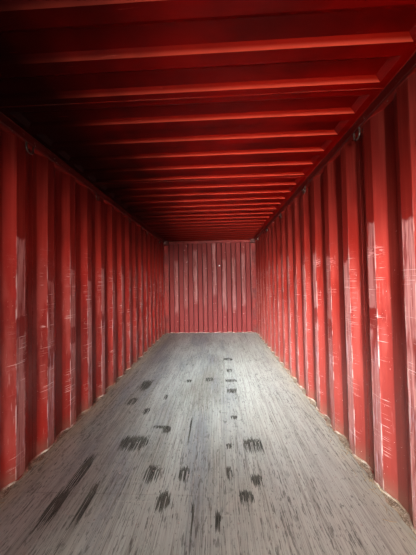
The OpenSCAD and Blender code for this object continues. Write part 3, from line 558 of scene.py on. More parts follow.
@dataclass(frozen=True)
class FrontPaint:
    """Old alkyd paint on the front wall, chalked dull pink by dust and rubbing. Painted shade darkens it
    towards the roof and in the grooves between the ribs.

    Heights are in metres above the ground, and a span says where a mask begins and where it is full.
    """

    layout: Layout
    name: str = "chalked_front_sheet"
    base: str = "7C2D2A"
    deep: str = "7A2421"
    low: str = "7E2C2A"
    chalk: str = "BC8683"
    mark: str = "CF9C98"
    groove_shade: str = "3C1210"
    faded: str = "AE4A3C"
    uneven: float = 0.7
    rub_top: Span = (2.05, 1.90)
    rub_low: Span = (0.55, 0.75)
    top_shade_over: Span = (1.75, 2.50)
    low_under: Span = (0.95, 0.55)
    proud: Span = (6 * MM, 1 * MM)

    def build(self) -> bpy.types.Material:
        """Mixes the paint.

        Returns:
            The material of the front wall.
        """
        r = Recipe(self.name)
        add, plan = r.add, self.layout
        inside, outside = r.inner(Sheet.FRONT)
        ribs = add(Kind.MATH, SCALED, i0=r.y, i1=1 / (plan.front_pitch * MM), i2=COUNT_FROM)
        dice = add(Kind.DICE, ONE_WAY, out=1, W=add(Kind.MATH, FLOORED, i0=ribs))
        high, amount, _ = add(Kind.SPLIT, Vector=dice).node.outputs
        high = add(Kind.MATH, SCALED, i0=high, i1=-self.uneven, i2=r.stirred(r.z, 0.12, (40, 40, 60), 4, 1))
        proud = add(Kind.RANGE, SMOOTH, Value=r.x, i1=plan.front - self.proud[0],
                    i2=plan.front - self.proud[1])
        # top: painted shade that darkens the wall towards the roof
        upper, lower, top, foot = (
            add(Kind.RANGE, SMOOTH, Value=value, i1=gone, i2=full)
            for value, (gone, full) in ((high, self.rub_top), (high, self.rub_low), (r.z, self.top_shade_over),
                                        (r.z, self.low_under)))
        rubbed = r.meet(proud, upper, lower, add(Kind.RANGE, Value=amount, i3=0.15, i4=0.75),
                        r.patches((30, 30, 380), 0.30, 0.62, 4, 2))
        # painted shade on the narrow slopes between the ribs, as dark lines in the grooves
        turned = add(Kind.MATH, UNSIGNED, i0=r.ny)
        groove_shade = r.meet(add(Kind.RANGE, SMOOTH, Value=turned, i1=0.25, i2=0.75, i4=0.72), inside)
        knocks = r.meet(r.patches((60, 55, 45), 0.64, 0.72, 4, 3), proud)
        weather = r.meet(r.patches((60, 50, 900), 0.40, 0.72, 4, 4), outside)
        colour = r.stack(self.base, (r.patches((300, 300, 600), 0.4, 0.7, 3, 5), self.deep),
                         (top, self.deep, 0.85), (foot, self.low, 0.7), (rubbed, self.chalk),
                         (knocks, self.mark, 0.6), (groove_shade, self.groove_shade), (weather, self.faded))
        gloss = r.stirred(0.45, 0.2, (60, 60, 200), 4, 6)
        bump = r.relief((r.mottle((260, 260, 420), 2, 7), 2.5), (r.mottle((6, 6, 6), 2, 8), 0.06))
        return r.close(colour, gloss, Normal=bump, Specular_IOR_Level=0.2)


@dataclass(frozen=True)
class RoofPaint:
    """Paint on die-stamped roof sheet: dark red below, rain-marked on top.

    Below, painted light brightens the pressed slopes that face the doorway, with a painted highlight along
    their lips, and painted shade darkens the left side and the far end. Heights are in metres above the
    sheet's lowest plane.
    """

    layout: Layout
    name: str = "stamped_roof_paint"
    base: str = "9A0501"
    deep: str = "6C0200"
    # colours of the painted light on the slopes that face the doorway and of the painted highlight on their
    # lips
    painted_slope_light: str = "92150A"
    painted_lip_highlight: str = "D44A36"
    # colour of the painted shade over the left side of the roof
    painted_shade: str = "160101"
    # colour of the painted shade towards the far end of the roof
    end: str = "5C0301"
    scuff: str = "B4584C"
    top: str = "8E1D13"
    faded: str = "A04438"
    silt: str = "8A6A5C"
    flat_at: Span = (12 * MM, 3 * MM)
    lip_highlight_at: Span = (13 * MM, 1 * MM)
    sheet_at: Span = (-0.4 * MM, 0.6 * MM)
    lean: float = 0.20

    def build(self) -> bpy.types.Material:
        """Mixes the paint.

        Returns:
            The material of the roof.
        """
        r = Recipe(self.name)
        add, roof = r.add, self.layout.roof
        inside, outside = r.inner(Sheet.ROOF)
        flat, painted_lip_highlight = (add(Kind.RANGE, SMOOTH, Value=r.z, i1=roof + gone, i2=roof + full)
                     for gone, full in (self.flat_at, self.lip_highlight_at))
        sheet = add(Kind.RANGE, Value=r.z, i1=roof + self.sheet_at[0], i2=roof + self.sheet_at[1])
        # painted light: slopes that face the doorway are lighter, with a painted highlight at their lower lip
        door_facing_slopes = r.meet(add(Kind.RANGE, SMOOTH, Value=r.nx, i1=0.10, i2=0.30), inside, sheet)
        # painted shade: the roof darkens towards the left, leaning with x
        across = add(Kind.MATH, SCALED, i0=r.x, i1=-self.lean, i2=r.stirred(r.y, 1.0, (900, 500, 300), 3, 8))
        painted_shade = add(Kind.RANGE, SMOOTH, Value=across, i1=0.78, i2=-0.60, i4=0.985)
        # painted shade: the roof darkens towards the far end
        end = add(Kind.RANGE, SMOOTH, Value=r.x, i1=0.4, i2=-2.8, i4=0.75)
        weather = r.meet(r.patches((500, 350, 300), 0.32, 0.66, 5, 1), outside)
        silt = r.meet(r.patches((120, 260, 200), 0.45, 0.7, 5, 2), outside, flat)
        colour = r.stack(self.base, (r.patches((260, 700, 300), 0.35, 0.7, 4, 4), self.deep),
                         (door_facing_slopes, self.painted_slope_light), (r.meet(painted_lip_highlight, door_facing_slopes), self.painted_lip_highlight), (end, self.end),
                         (painted_shade, self.painted_shade), (outside, self.top), (weather, self.faded),
                         (silt, self.silt, 0.6),
                         (r.patches((8, 160, 60), 0.68, 0.76, 3, 3), self.scuff, 0.35))
        gloss = add(Kind.MATH, SCALED, i0=outside, i1=0.22, i2=0.33)
        gloss = r.stirred(gloss, 0.14, (80, 260, 80), 4, 5)
        bump = r.relief((r.mottle((300, 420, 300), 2, 6), 2.0), (r.mottle((5, 5, 5), 2, 7), 0.05))
        return r.close(colour, gloss, Normal=bump, Specular_IOR_Level=0.08)


@dataclass(frozen=True)
class FramePaint:
    """Brushed and sprayed oxide red on rolled and pressed frame steel.

    Thick and uneven, knocked down to primer and rust where tines, lashings and doors hit it, with road
    dust on what faces up. Painted shade darkens the inner faces of the top rails. A span in metres says
    where a mask begins and where it is full.
    """

    name: str = "oxide_red_frame"
    base: str = "90190F"
    deep: str = "660E08"
    faded: str = "A8483A"
    primer: str = "8B8078"
    rust: str = "58301E"
    dust: str = "8F7B6B"
    shade: str = "3A0603"
    wear: float = 0.66
    splash_under: Span = (0.45, 0.02)
    rail_shade_over: Span = (2.20, 2.30)
    rail_shade_along: Span = (2.96, 2.90)
    rail_shade_across: Span = (1.18, 1.165)

    def build(self) -> bpy.types.Material:
        """Mixes the paint.

        Returns:
            The material of the frame.
        """
        r = Recipe(self.name)
        add = r.add
        chips = r.patches((26, 22, 18), self.wear, self.wear + 0.025, 5, 3)
        rust = r.patches((34, 30, 26), self.wear + 0.012, self.wear + 0.05, 6, 3)
        up, low, high = (add(Kind.RANGE, SMOOTH, Value=value, i1=gone, i2=full)
                         for value, (gone, full) in ((r.nz, (0.4, 0.9)), (r.z, self.splash_under),
                                                     (r.z, self.rail_shade_over)))
        dust = r.meet(up, r.patches((70, 70, 70), 0.25, 0.75, 5, 4))
        splash = r.meet(low, r.patches((50, 50, 110), 0.35, 0.75, 5, 5))
        # painted shade on the inner faces of the top rails
        rail_shade = r.meet(high, r.band(r.x, 0.0, *self.rail_shade_along), r.band(r.y, 0.0, *self.rail_shade_across))
        colour = r.stack(self.base, (r.patches((260, 260, 260), 0.35, 0.7, 4, 1), self.deep),
                         (r.patches((120, 90, 160), 0.46, 0.75, 5, 2), self.faded, 0.5),
                         (splash, self.dust, 0.4), (rail_shade, self.shade, 0.8), (chips, self.primer),
                         (rust, self.rust), (dust, self.dust, 0.55))
        gloss = add(Kind.MATH, SCALED, i0=chips, i1=0.25, i2=0.40)
        gloss = r.stirred(gloss, 0.2, (50, 50, 50), 4, 6)
        bump = r.relief((r.mottle((7, 7, 7), 3, 7), 0.12), (chips, -0.25),
                        (r.mottle((90, 90, 90), 2, 8), 0.8))
        return r.close(colour, gloss, Normal=bump, Specular_IOR_Level=0.35)


@dataclass(frozen=True)
class Galvanised:
    """Hot-dip galvanised steel: dull grey zinc in frozen flakes, with white bloom and grime."""

    name: str = "hot_dip_zinc"
    light: str = "A6A8A8"
    dark: str = "7C8084"
    bloom: str = "C6C4BE"
    grime: str = "5A4A40"
    flake: float = 9 * MM

    def build(self) -> bpy.types.Material:
        """Mixes the zinc.

        Returns:
            The material of the zinc-coated steel.
        """
        r = Recipe(self.name)
        add = r.add
        where = add(Kind.MAPPING, Vector=r.place, Scale=(1 / self.flake,) * 3)
        flakes = add(Kind.SPLIT, Vector=add(Kind.CELLS, out=1, Vector=where, Scale=1.0))
        bloom = r.patches((35, 35, 60), 0.52, 0.72, 5, 1)
        grime = r.patches((50, 50, 90), 0.56, 0.74, 5, 2)
        colour = r.stack(self.light, (flakes, self.dark), (bloom, self.bloom, 0.6), (grime, self.grime, 0.7))
        metal = add(Kind.RANGE, Value=grime, i3=0.85, i4=0.2)
        gloss = add(Kind.MATH, SCALED, i0=bloom, i1=0.2, i2=0.42)
        bump = r.relief((flakes, 0.04), (r.mottle((3, 3, 3), 2, 3), 0.03))
        return r.close(colour, gloss, Metallic=metal, Normal=bump)


@dataclass(frozen=True)
class Plywood:
    """Keruing floor plywood, worn by years of pallets and tines.

    The face veneer is greyed and dusty. Its grain stands up in ridges along the container, dark veneer
    shows where splinters have broken out, and the sides are browner with dust. Distances from the middle
    of the floor are in metres.
    """

    name: str = "worn_floor_plywood"
    pale: str = "B9C5BF"
    brown: str = "959B92"
    blue: str = "8B969B"
    line: str = "5C554C"
    ridge: str = "CCD0C5"
    scar: str = "464A44"
    edge: str = "C2BEA2"
    # colour of the paler right side of the floor, partly dust and partly painted light
    dusty: str = "CFD6CB"
    under: str = "4E4032"
    edge_from: Span = (1.05, 1.28)
    right_dust_and_light_from: Span = (0.35, 0.95)

    def build(self) -> bpy.types.Material:
        """Mixes the wood.

        Returns:
            The material of the floor.
        """
        r = Recipe(self.name)
        add = r.add
        fine = r.patches((260, 3.2, 20), 0.50, 0.68, 4, 3)
        coarse = r.patches((520, 9, 20), 0.56, 0.70, 4, 4)
        ridges = r.patches((330, 4.5, 20), 0.58, 0.74, 3, 5)
        chipped = r.meet(r.patches((80, 11, 20), 0.57, 0.63, 4, 7),
                         r.patches((900, 330, 100), 0.38, 0.55, 3, 6))
        blotch = r.meet(r.patches((70, 50, 50), 0.58, 0.70, 4, 8),
                        r.patches((1300, 500, 100), 0.48, 0.62, 3, 9))
        aside = r.stirred(add(Kind.MATH, UNSIGNED, i0=r.y), 0.22, (220, 90, 50), 4, 10)
        right = r.stirred(r.y, 0.5, (700, 260, 50), 4, 18)
        # the floor grows paler towards the right side: partly dust, partly painted light
        side, right_dust_and_light, below = (
            add(Kind.RANGE, SMOOTH, Value=value, i1=gone, i2=full)
            for value, (gone, full) in ((aside, self.edge_from), (right, self.right_dust_and_light_from),
                                        (r.nz, (0.3, -0.3))))
        colour = r.stack(self.pale, (r.patches((1500, 420, 100), 0.38, 0.66, 4, 1), self.brown),
                         (r.patches((1100, 260, 100), 0.46, 0.66, 4, 2), self.blue, 0.7),
                         (side, self.edge, 0.75), (right_dust_and_light, self.dusty, 0.6),
                         (r.patches((60, 60, 60), 0.48, 0.78, 5, 12), self.ridge, 0.25),
                         (ridges, self.ridge, 0.55),
                         (r.patches((700, 22, 20), 0.50, 0.66, 5, 14), self.line, 0.24),
                         (r.patches((620, 17, 20), 0.54, 0.68, 5, 15), self.ridge, 0.34),
                         (r.patches((30, 11, 20), 0.60, 0.66, 4, 16), self.scar, 0.55),
                         (r.patches((13, 8, 20), 0.68, 0.72, 3, 17), self.ridge, 0.7),
                         (coarse, self.line, 0.5), (fine, self.line, 0.58),
                         (r.patches((6, 700, 20), 0.66, 0.72, 2, 11), self.ridge, 0.25),
                         (blotch, self.scar, 0.55), (chipped, self.scar, 0.62), (below, self.under))
        gloss = r.stirred(0.50, 0.25, (500, 60, 50), 4, 13)
        bump = r.relief((fine, -0.25), (coarse, -0.5), (ridges, 0.3), (chipped, -0.5))
        return r.close(colour, gloss, Normal=bump)


@dataclass(frozen=True)
class BrokenVeneer:
    """Bare second veneer where the face has splintered out: dark, stringy and dry."""

    name: str = "splintered_veneer"
    base: str = "484D47"
    light: str = "777B70"
    dark: str = "2D322D"

    def build(self) -> bpy.types.Material:
        """Mixes the wood.

        Returns:
            The material of the scars.
        """
        r = Recipe(self.name)
        strings = r.patches((150, 3.6, 10), 0.46, 0.64, 3, 1)
        gaps = r.patches((220, 5, 10), 0.55, 0.68, 3, 2)
        colour = r.stack(self.base, (r.patches((90, 60, 20), 0.4, 0.7, 4, 3), self.dark),
                         (strings, self.light, 0.8), (gaps, self.dark))
        return r.close(colour, 0.85, Normal=r.relief((strings, 0.5), (gaps, -0.4)))


@dataclass(frozen=True)
class Rubber:
    """Extruded EPDM seal: black, matt, with grey bloom and dust in its folds."""

    name: str = "epdm_seal"
    base: str = "161514"
    bloom: str = "34322F"
    dust: str = "5F564C"

    def build(self) -> bpy.types.Material:
        """Mixes the rubber.

        Returns:
            The material of the seals.
        """
        r = Recipe(self.name)
        bloom = r.patches((60, 60, 90), 0.40, 0.75, 5, 1)
        colour = r.stack(self.base, (bloom, self.bloom, 0.5),
                         (r.patches((14, 14, 20), 0.58, 0.72, 4, 2), self.dust, 0.5))
        gloss = r.add(Kind.MATH, SCALED, i0=bloom, i1=0.2, i2=0.55)
        return r.close(colour, gloss, Normal=r.relief((r.mottle((4, 4, 4), 3, 3), 0.08)))


@dataclass(frozen=True)
class Caulk:
    """Butyl joint sealant along the sheet feet: putty white where fresh, brown where dust sticks."""

    name: str = "dusty_joint_sealant"
    pale: str = "E4DDD0"
    dusty: str = "B09E88"
    red: str = "96463C"

    def build(self) -> bpy.types.Material:
        """Mixes the sealant.

        Returns:
            The material of the sealant beads.
        """
        r = Recipe(self.name)
        colour = r.stack(self.pale, (r.patches((70, 70, 40), 0.38, 0.62, 4, 1), self.dusty),
                         (r.patches((120, 120, 40), 0.52, 0.64, 4, 2), self.red))
        return r.close(colour, 0.8, Normal=r.relief((r.mottle((9, 9, 9), 3, 3), 0.8)))


@dataclass(frozen=True)
class Litter:
    """Loose dry stuff: dust, wood crumbs and straw, in warm greys and straw yellow."""

    name: str
    base: str
    light: str
    dark: str
    grain: float = 6.0

    def build(self) -> bpy.types.Material:
        """Mixes the litter.

        Returns:
            The material of the dust or straw.
        """
        r = Recipe(self.name)
        grain, lump = (self.grain,) * 3, (self.grain * 9,) * 3
        colour = r.stack(self.base, (r.patches(lump, 0.4, 0.66, 4, 1), self.dark),
                         (r.patches(grain, 0.52, 0.66, 3, 2), self.light))
        return r.close(colour, 0.9, Normal=r.relief((r.mottle(grain, 3, 3), 1.0)))


def piece(name: str, bm: bmesh.types.BMesh, finish: bpy.types.Material) -> None:
    """Turns a finished bmesh into a piece that rides on the container.

    Args:
        name: Name of the piece.
        bm: Its shape, with its place in its vertices. It is freed.
        finish: Its material.
    """
    bmesh.ops.recalc_face_normals(bm, faces=bm.faces)
    mesh = bpy.data.meshes.new(name)
    bm.to_mesh(mesh)
    bm.free()
    mesh.materials.append(finish)
    obj = bpy.data.objects.new(name, mesh)
    bpy.context.scene.collection.objects.link(obj)
    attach(obj, "root")
    log.info("%s: %d faces", name, len(mesh.polygons))


def bead(bm: bmesh.types.BMesh, path: Sequence[Vector], radius: float, lump: float,
         sides: int = 6) -> None:
    """Sweeps a round bead along a path and closes its ends.

    Args:
        bm: The bmesh that gets the bead.
        path: Points of its centre line in metres.
        radius: Its radius in metres.
        lump: How much its radius varies, as a share of it.
        sides: Facets round it.
    """
    run = bmesh.new()
    ring = bmesh.ops.create_circle(run, cap_ends=False, segments=sides, radius=radius)["verts"]
    edges = run.edges[:]
    held = Matrix.Identity(4)
    for i, point in enumerate(path):
        ahead = path[min(i + 1, len(path) - 1)] - path[max(i - 1, 0)]
        size = 1 + lump * noise.noise(point * LUMP_SCALE)
        turned = Matrix.LocRotScale(point, ahead.to_track_quat("Z", "Y"), (size, size, size))
        if i:
            grown = bmesh.ops.extrude_edge_only(run, edges=edges)["geom"]
            ring = [g for g in grown if isinstance(g, bmesh.types.BMVert)]
            edges = [g for g in grown if isinstance(g, bmesh.types.BMEdge)]
        bmesh.ops.transform(run, matrix=turned @ held.inverted(), verts=ring)
        held = turned
        if i in (0, len(path) - 1):
            bmesh.ops.contextual_create(run, geom=edges)
    mesh = bpy.data.meshes.new("run")
    run.to_mesh(mesh)
    run.free()
    bm.from_mesh(mesh)
    bpy.data.meshes.remove(mesh)


def bar(bm: bmesh.types.BMesh, low: Vector, high: Vector, edge: float) -> None:
    """Adds a flat bar or plate with bevelled edges between two corners.

    Args:
        bm: The bmesh that gets the bar.
        low: Its lowest corner in metres.
        high: Its highest corner in metres.
        edge: Width of the bevel in metres.
    """
    size = high - low
    place = Matrix.Translation((low + high) / 2) @ Matrix.Diagonal((size.x, size.y, size.z, 1.0))
    made = bmesh.ops.create_cube(bm, size=1.0, matrix=place)["verts"]
    edges = list({e for v in made for e in v.link_edges})
    bmesh.ops.bevel(bm, geom=edges, offset=edge, offset_type="OFFSET", segments=1, profile=0.5,
                    affect="EDGES", material=-1)


def stud(bm: bmesh.types.BMesh, place: Vector, facing: Vector, radius: float, height: float,
         sides: int, crown: float = 0.62, rim: float = 0.22, dish: float = 0.35) -> None:
    """Adds a fastener head that narrows to a dished crown.

    Args:
        bm: The bmesh that gets the head.
        place: Middle of its foot in metres.
        facing: Direction that it looks, of length one.
        radius: Its radius in metres.
        height: Its height in metres.
        sides: Facets round it.
        crown: Radius of its crown, as a share of its own.
        rim: Width of the rim round the crown, as a share of its radius.
        dish: Depth of the dish, as a share of its height.
    """
    stand = Matrix.Translation(place + facing * height / 2) \
        @ facing.to_track_quat("Z", "Y").to_matrix().to_4x4()
    made = bmesh.ops.create_cone(bm, cap_ends=True, segments=sides, radius1=radius, radius2=radius * crown,
                                 depth=height, matrix=stand)["verts"]
    top = [f for f in {f for v in made for f in v.link_faces}
           if f.normal.dot(facing) > 0.9 and len(f.verts) > 4]
    bmesh.ops.inset_region(bm, faces=top, thickness=radius * rim, depth=-height * dish, use_even_offset=True)


@dataclass(frozen=True)
class FootSealant:
    """Sealant beads that follow the corrugated foot of the three walls."""

    plan: Layout
    radius: float = 7.5 * MM
    step: float = 12 * MM
    door_facing_slopes: float = 0.30
    lift: float = 0.35
    drift: float = 3.5 * MM
    drift_scale: float = 22.0
    lump: float = 0.35
    ends: Span = (10 * MM, 5 * MM)
    front_steps: int = 260
    front_gap: float = 70 * MM

    def build(self, finish: bpy.types.Material) -> None:
        """Lays the beads.

        Args:
            finish: The sealant.
        """
        plan = self.plan
        count = int((plan.rear - plan.start) / self.step)
        for side, hand in SIDES:
            bm = bmesh.new()
            path = []
            for x in spaced(plan.start + self.ends[0], plan.rear - self.ends[1], count):
                drift = self.drift * noise.noise(Vector((x * self.drift_scale, side, 0)))
                y = plan.wall_face(x, side) - self.radius * self.door_facing_slopes + drift
                path.append(Vector((x, side * y, plan.foot + self.radius * self.lift)))
            bead(bm, path, self.radius, self.lump)
            piece(hand + "_foot_sealant", bm, finish)
        bm = bmesh.new()
        reach, off = plan.wall - self.front_gap, self.radius * self.door_facing_slopes
        path = [Vector((plan.front - plan.front_line(y) + off, y, plan.foot + off))
                for y in spaced(-reach, reach, self.front_steps)]
        bead(bm, path, self.radius, self.lump)
        piece("front_foot_sealant", bm, finish)


@dataclass(frozen=True)
class GutterDust:
    """Dust and crumbs that lie on the bottom rails, between the floor's edge and the wall's foot.

    The dust is thin over the floor's edge and rises towards the wall.
    """

    plan: Layout
    lap: float = 9 * MM
    ragged: float = 2.4
    ragged_scale: float = 14.0
    steps: int = 520
    ends: Span = (20 * MM, 40 * MM)
    wall_gap: float = 0.5 * MM
    sunk: float = 0.9 * MM
    thin: float = 0.2 * MM
    low: float = 1.2 * MM
    rise: float = 2.6 * MM
    heap_scale: float = 25.0

    def build(self, finish: bpy.types.Material) -> None:
        """Fills both gutters.

        Args:
            finish: The dust.
        """
        plan = self.plan
        begin = plan.start + self.ends[0]
        length = plan.rear - self.ends[1] - begin
        for side, hand in SIDES:
            bm = bmesh.new()
            bmesh.ops.create_grid(bm, x_segments=self.steps, y_segments=4, size=0.5)
            for v in bm.verts:
                x = begin + (v.co.x + 0.5) * length
                share = v.co.y + 0.5
                ragged = 1 + self.ragged * noise.noise(Vector((x * self.ragged_scale, side * 3, 1)))
                near = plan.floor_edge - self.lap * ragged
                far = plan.wall_face(x, side) - self.wall_gap
                heap = 1 + noise.fractal(Vector((x * self.heap_scale, share * 1.5, side)), 1.0, 2.0, 3)
                rise = (self.thin if share < 0.1 else self.low + self.rise * share) * heap
                v.co = Vector((x, side * (near + (far - near) * share), plan.foot - self.sunk + rise))
            piece(hand + "_gutter_dust", bm, finish)


@dataclass(frozen=True)
class StrayStraw:
    """Bits of straw and strapping that lie along the sides of the floor, most on the right."""

    plan: Layout
    count: int = 190
    seed: int = 5
    right_share: float = 0.72
    ends: Span = (0.3, 0.1)
    crowding: float = 0.7
    wall_gap: float = 12 * MM
    scatter: float = 35 * MM
    length: Span = (20 * MM, 75 * MM)
    width: Span = (1.2, 2.6)
    bend: float = 0.35
    turn: float = 0.8
    lift: float = 2.2 * MM
    curl: float = 1.2 * MM
    thick: float = 0.6 * MM

    def build(self, finish: bpy.types.Material) -> None:
        """Strews the straw.

        Args:
            finish: The straw.
        """
        plan, rng = self.plan, random.Random(self.seed)
        begin = plan.front + self.ends[0]
        reach = plan.rear - self.ends[1] - begin
        bm = bmesh.new()
        for _ in range(self.count):
            side = 1 if rng.random() < self.right_share else -1
            x = begin + reach * rng.random() ** self.crowding
            y = side * (plan.wall - self.wall_gap - abs(rng.gauss(0, self.scatter)))
            length, width = rng.uniform(*self.length), rng.uniform(*self.width) * MM
            bend = rng.uniform(-self.bend, self.bend)
            made = bmesh.ops.create_grid(bm, x_segments=4, y_segments=1, size=0.5)["verts"]
            turn = Matrix.Rotation(rng.gauss(0, self.turn), 4, "Z")
            for v in made:
                u = v.co.x * 2
                v.co = turn @ Vector((v.co.x * length, v.co.y * width + bend * length * u * u * 0.3, 0))
                v.co += Vector((x, y, plan.floor + self.lift + self.curl * u * u))
        bmesh.ops.solidify(bm, geom=bm.faces[:], thickness=self.thick)
        piece("stray_straw", bm, finish)


@dataclass(frozen=True)
class FloorScrews:
    """Countersunk floor screws in rows across the floor, worn bright by traffic. Some are missing."""

    plan: Layout
    rows: int = 20
    lanes: tuple[float, ...] = (-1.09, -0.93, -0.72, -0.50, -0.28, -0.06,
                                0.06, 0.27, 0.49, 0.71, 0.94, 1.09)
    missing: float = 0.14
    radius: float = 6.5 * MM
    height: float = 1.1 * MM
    sunk: float = 0.4 * MM
    off_x: float = 10 * MM
    off_y: float = 12 * MM
    seed: int = 11

    def build(self, finish: bpy.types.Material) -> None:
        """Sets the screws.

        Args:
            finish: Worn zinc.
        """
        rng = random.Random(self.seed)
        bm = bmesh.new()
        for x in spaced(self.plan.front + 0.06, self.plan.rear - 0.05, self.rows - 1):
            for y in self.lanes:
                if rng.random() < self.missing:
                    continue
                place = Vector((x + rng.gauss(0, self.off_x), y + rng.gauss(0, self.off_y),
                                self.plan.floor - self.sunk))
                stud(bm, place, Vector((0, 0, 1)), self.radius, self.height, 9)
        piece("floor_screws", bm, finish)


@dataclass(frozen=True)
class Scar:
    """One place where the face veneer has broken out, in metres on the floor."""

    x: float
    y: float
    length: float
    width: float


@dataclass(frozen=True)
class VeneerScars:
    """The larger broken places of the face veneer, with splintered ends along the grain.

    A strip may lose a share of the scar's length at each end: the fray, and more of it towards the scar's
    sides. Some strips have snapped and keep only a part of their length.
    """

    plan: Layout
    scars: tuple[Scar, ...]
    strip: float = 4.2 * MM
    lap: float = 1.04
    taper: float = 0.75
    fray: float = 0.16
    side_fray: float = 0.24
    snapped: float = 0.20
    kept: Span = (0.2, 0.6)
    sway: float = 1.6 * MM
    sway_scale: float = 30.0
    thick: float = 0.5 * MM
    seed: int = 3

    def build(self, finish: bpy.types.Material) -> None:
        """Lays each scar as thin strips on the floor.

        Args:
            finish: The bare veneer.
        """
        rng = random.Random(self.seed)
        bm = bmesh.new()
        for scar in self.scars:
            strips = max(3, round(scar.width / self.strip))
            wide = scar.width / strips
            for k in range(strips):
                y = scar.y - scar.width / 2 + (k + 0.5) * wide
                inset = scar.length * (self.fray + self.side_fray * (2 * (k + 0.5) / strips - 1) ** 2)
                start = -scar.length / 2 + inset * rng.random()
                end = scar.length / 2 - inset * rng.random()
                if rng.random() < self.snapped:
                    end = start + (end - start) * rng.uniform(*self.kept)
                made = bmesh.ops.create_grid(bm, x_segments=6, y_segments=1, size=0.5)["verts"]
                for v in made:
                    u = v.co.x + 0.5
                    width = wide * self.lap * (1 - self.taper * (2 * u - 1) ** 4)
                    x = scar.x + start + (end - start) * u
                    sway = self.sway * noise.noise(Vector((x * self.sway_scale, k, scar.y)))
                    v.co = Vector((x, y + v.co.y * width + sway, self.plan.floor + self.thick / 2))
        bmesh.ops.solidify(bm, geom=bm.faces[:], thickness=self.thick)
        piece("veneer_scars", bm, finish)


@dataclass(frozen=True)
class RoofWelds:
    """Weld beads over the roof's sheet joints and along its edges, above and below."""

    plan: Layout
    joints: int = 6
    sheet: float = 1063 * MM
    first: float = 256 * MM
    half_width: float = 1152 * MM
    radius: float = 3.2 * MM
    lump: float = 0.5
    steps: int = 150
    wander: float = 0.8 * MM
    wander_scale: float = 30.0
    edge_radius: float = 4.2 * MM
    edge_lump: float = 0.7
    edge_steps: int = 420
    edge_sunk: float = 1 * MM

    def build(self, finish: bpy.types.Material) -> None:
        """Lays the beads.

        Args:
            finish: The roof paint.
        """
        plan, top = self.plan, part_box("roof_corner_plates")[0].z
        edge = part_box("roof_sheets")[1].y
        bm = bmesh.new()
        for i in range(self.joints):
            x = plan.front + self.first + i * self.sheet
            for z, reach in ((plan.roof, self.half_width), (top, edge)):
                path = [Vector((x + self.wander * noise.noise(Vector((x, y * self.wander_scale, 0))), y, z))
                        for y in spaced(-reach, reach, self.steps)]
                bead(bm, path, self.radius, self.lump)
        piece("roof_joint_welds", bm, finish)
        bm = bmesh.new()
        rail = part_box("right_top_rail")
        inner = rail[1].y - (rail[1].z - rail[0].z)
        for side, _ in SIDES:
            path = [Vector((x, side * (inner + self.edge_sunk), plan.roof - self.edge_sunk))
                    for x in spaced(plan.start, plan.rear, self.edge_steps)]
            bead(bm, path, self.edge_radius, self.edge_lump)
        piece("roof_edge_welds", bm, finish)


@dataclass(frozen=True)
class WallWelds:
    """Fillet welds where the corrugated walls meet the top rails, and the upright sheet joints.

    The joints are counted in pitches from the front wall.
    """

    plan: Layout
    radius: float = 3.4 * MM
    lump: float = 0.7
    steps: int = 420
    end_gap: float = 5 * MM
    sunk: float = 0.5 * MM
    below_head: float = 1 * MM
    joint_radius: float = 2.2 * MM
    joint_lump: float = 0.5
    joint_steps: int = 160
    joints: range = range(2, 21, 4)
    wander: float = 0.6 * MM
    wander_scale: float = 40.0

    def build(self, finish: bpy.types.Material) -> None:
        """Lays the beads.

        Args:
            finish: The frame paint.
        """
        plan = self.plan
        for side, hand in SIDES:
            bm = bmesh.new()
            path = [Vector((x, side * (plan.wall_face(x, side) - self.sunk), plan.head - self.below_head))
                    for x in spaced(plan.start + self.end_gap, plan.rear - self.end_gap, self.steps)]
            bead(bm, path, self.radius, self.lump)
            piece(hand + "_head_weld", bm, finish)
            bm = bmesh.new()
            outer = max(abs(corner.y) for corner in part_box(hand + "_wall"))
            middle = plan.phase(side) + plan.inner + plan.slope + plan.outer / 2
            for n in self.joints:
                x = plan.front + (middle + n * plan.pitch) * MM
                for y in (outer, plan.wall + plan.depth * MM):
                    path = [Vector((x + self.wander * noise.noise(Vector((n, y, z * self.wander_scale))),
                                    side * y, z)) for z in spaced(plan.foot, plan.head, self.joint_steps)]
                    bead(bm, path, self.joint_radius, self.joint_lump)
            piece(hand + "_sheet_welds", bm, finish)


@dataclass(frozen=True)
class DoorTrim:
    """Retainer strips and rivets that hold the door seals."""

    strip: float = 22 * MM
    thick: float = 2.2 * MM
    inset: float = 4 * MM
    edge: float = 0.6 * MM
    pitch: float = 155 * MM
    rivet: float = 5 * MM
    rivet_height: float = 2.4 * MM

    def build(self, finish: bpy.types.Material) -> None:
        """Fixes the trim to both leaves.

        Args:
            finish: The zinc.
        """
        for side, hand in SIDES:
            low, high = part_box(hand + "_door_frame")
            face = max(abs(corner.y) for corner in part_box(hand + "_door_gasket"))
            x0, x1, z0, z1 = low.x + self.inset, high.x - self.inset, low.z + self.inset, high.z - self.inset
            bm, rivets = bmesh.new(), bmesh.new()
            spans = ((x0, x1, z0, z0 + self.strip), (x0, x1, z1 - self.strip, z1),
                     (x0, x0 + self.strip, z0 + self.strip, z1 - self.strip),
                     (x1 - self.strip, x1, z0 + self.strip, z1 - self.strip))
            for a, b, c, d in spans:
                y = sorted((side * face, side * (face + self.thick)))
                bar(bm, Vector((a, y[0], c)), Vector((b, y[1], d)), self.edge)
                level = b - a > d - c
                count = max(2, round(max(b - a, d - c) / self.pitch))
                for i in range(count):
                    u = (i + 0.5) / count
                    at = Vector((a + (b - a) * (u if level else 0.5), side * (face + self.thick),
                                 c + (d - c) * (0.5 if level else u)))
                    stud(rivets, at, Vector((0, side, 0)), self.rivet, self.rivet_height, 8)
            piece(hand + "_seal_retainers", bm, finish)
            piece(hand + "_seal_rivets", rivets, finish)


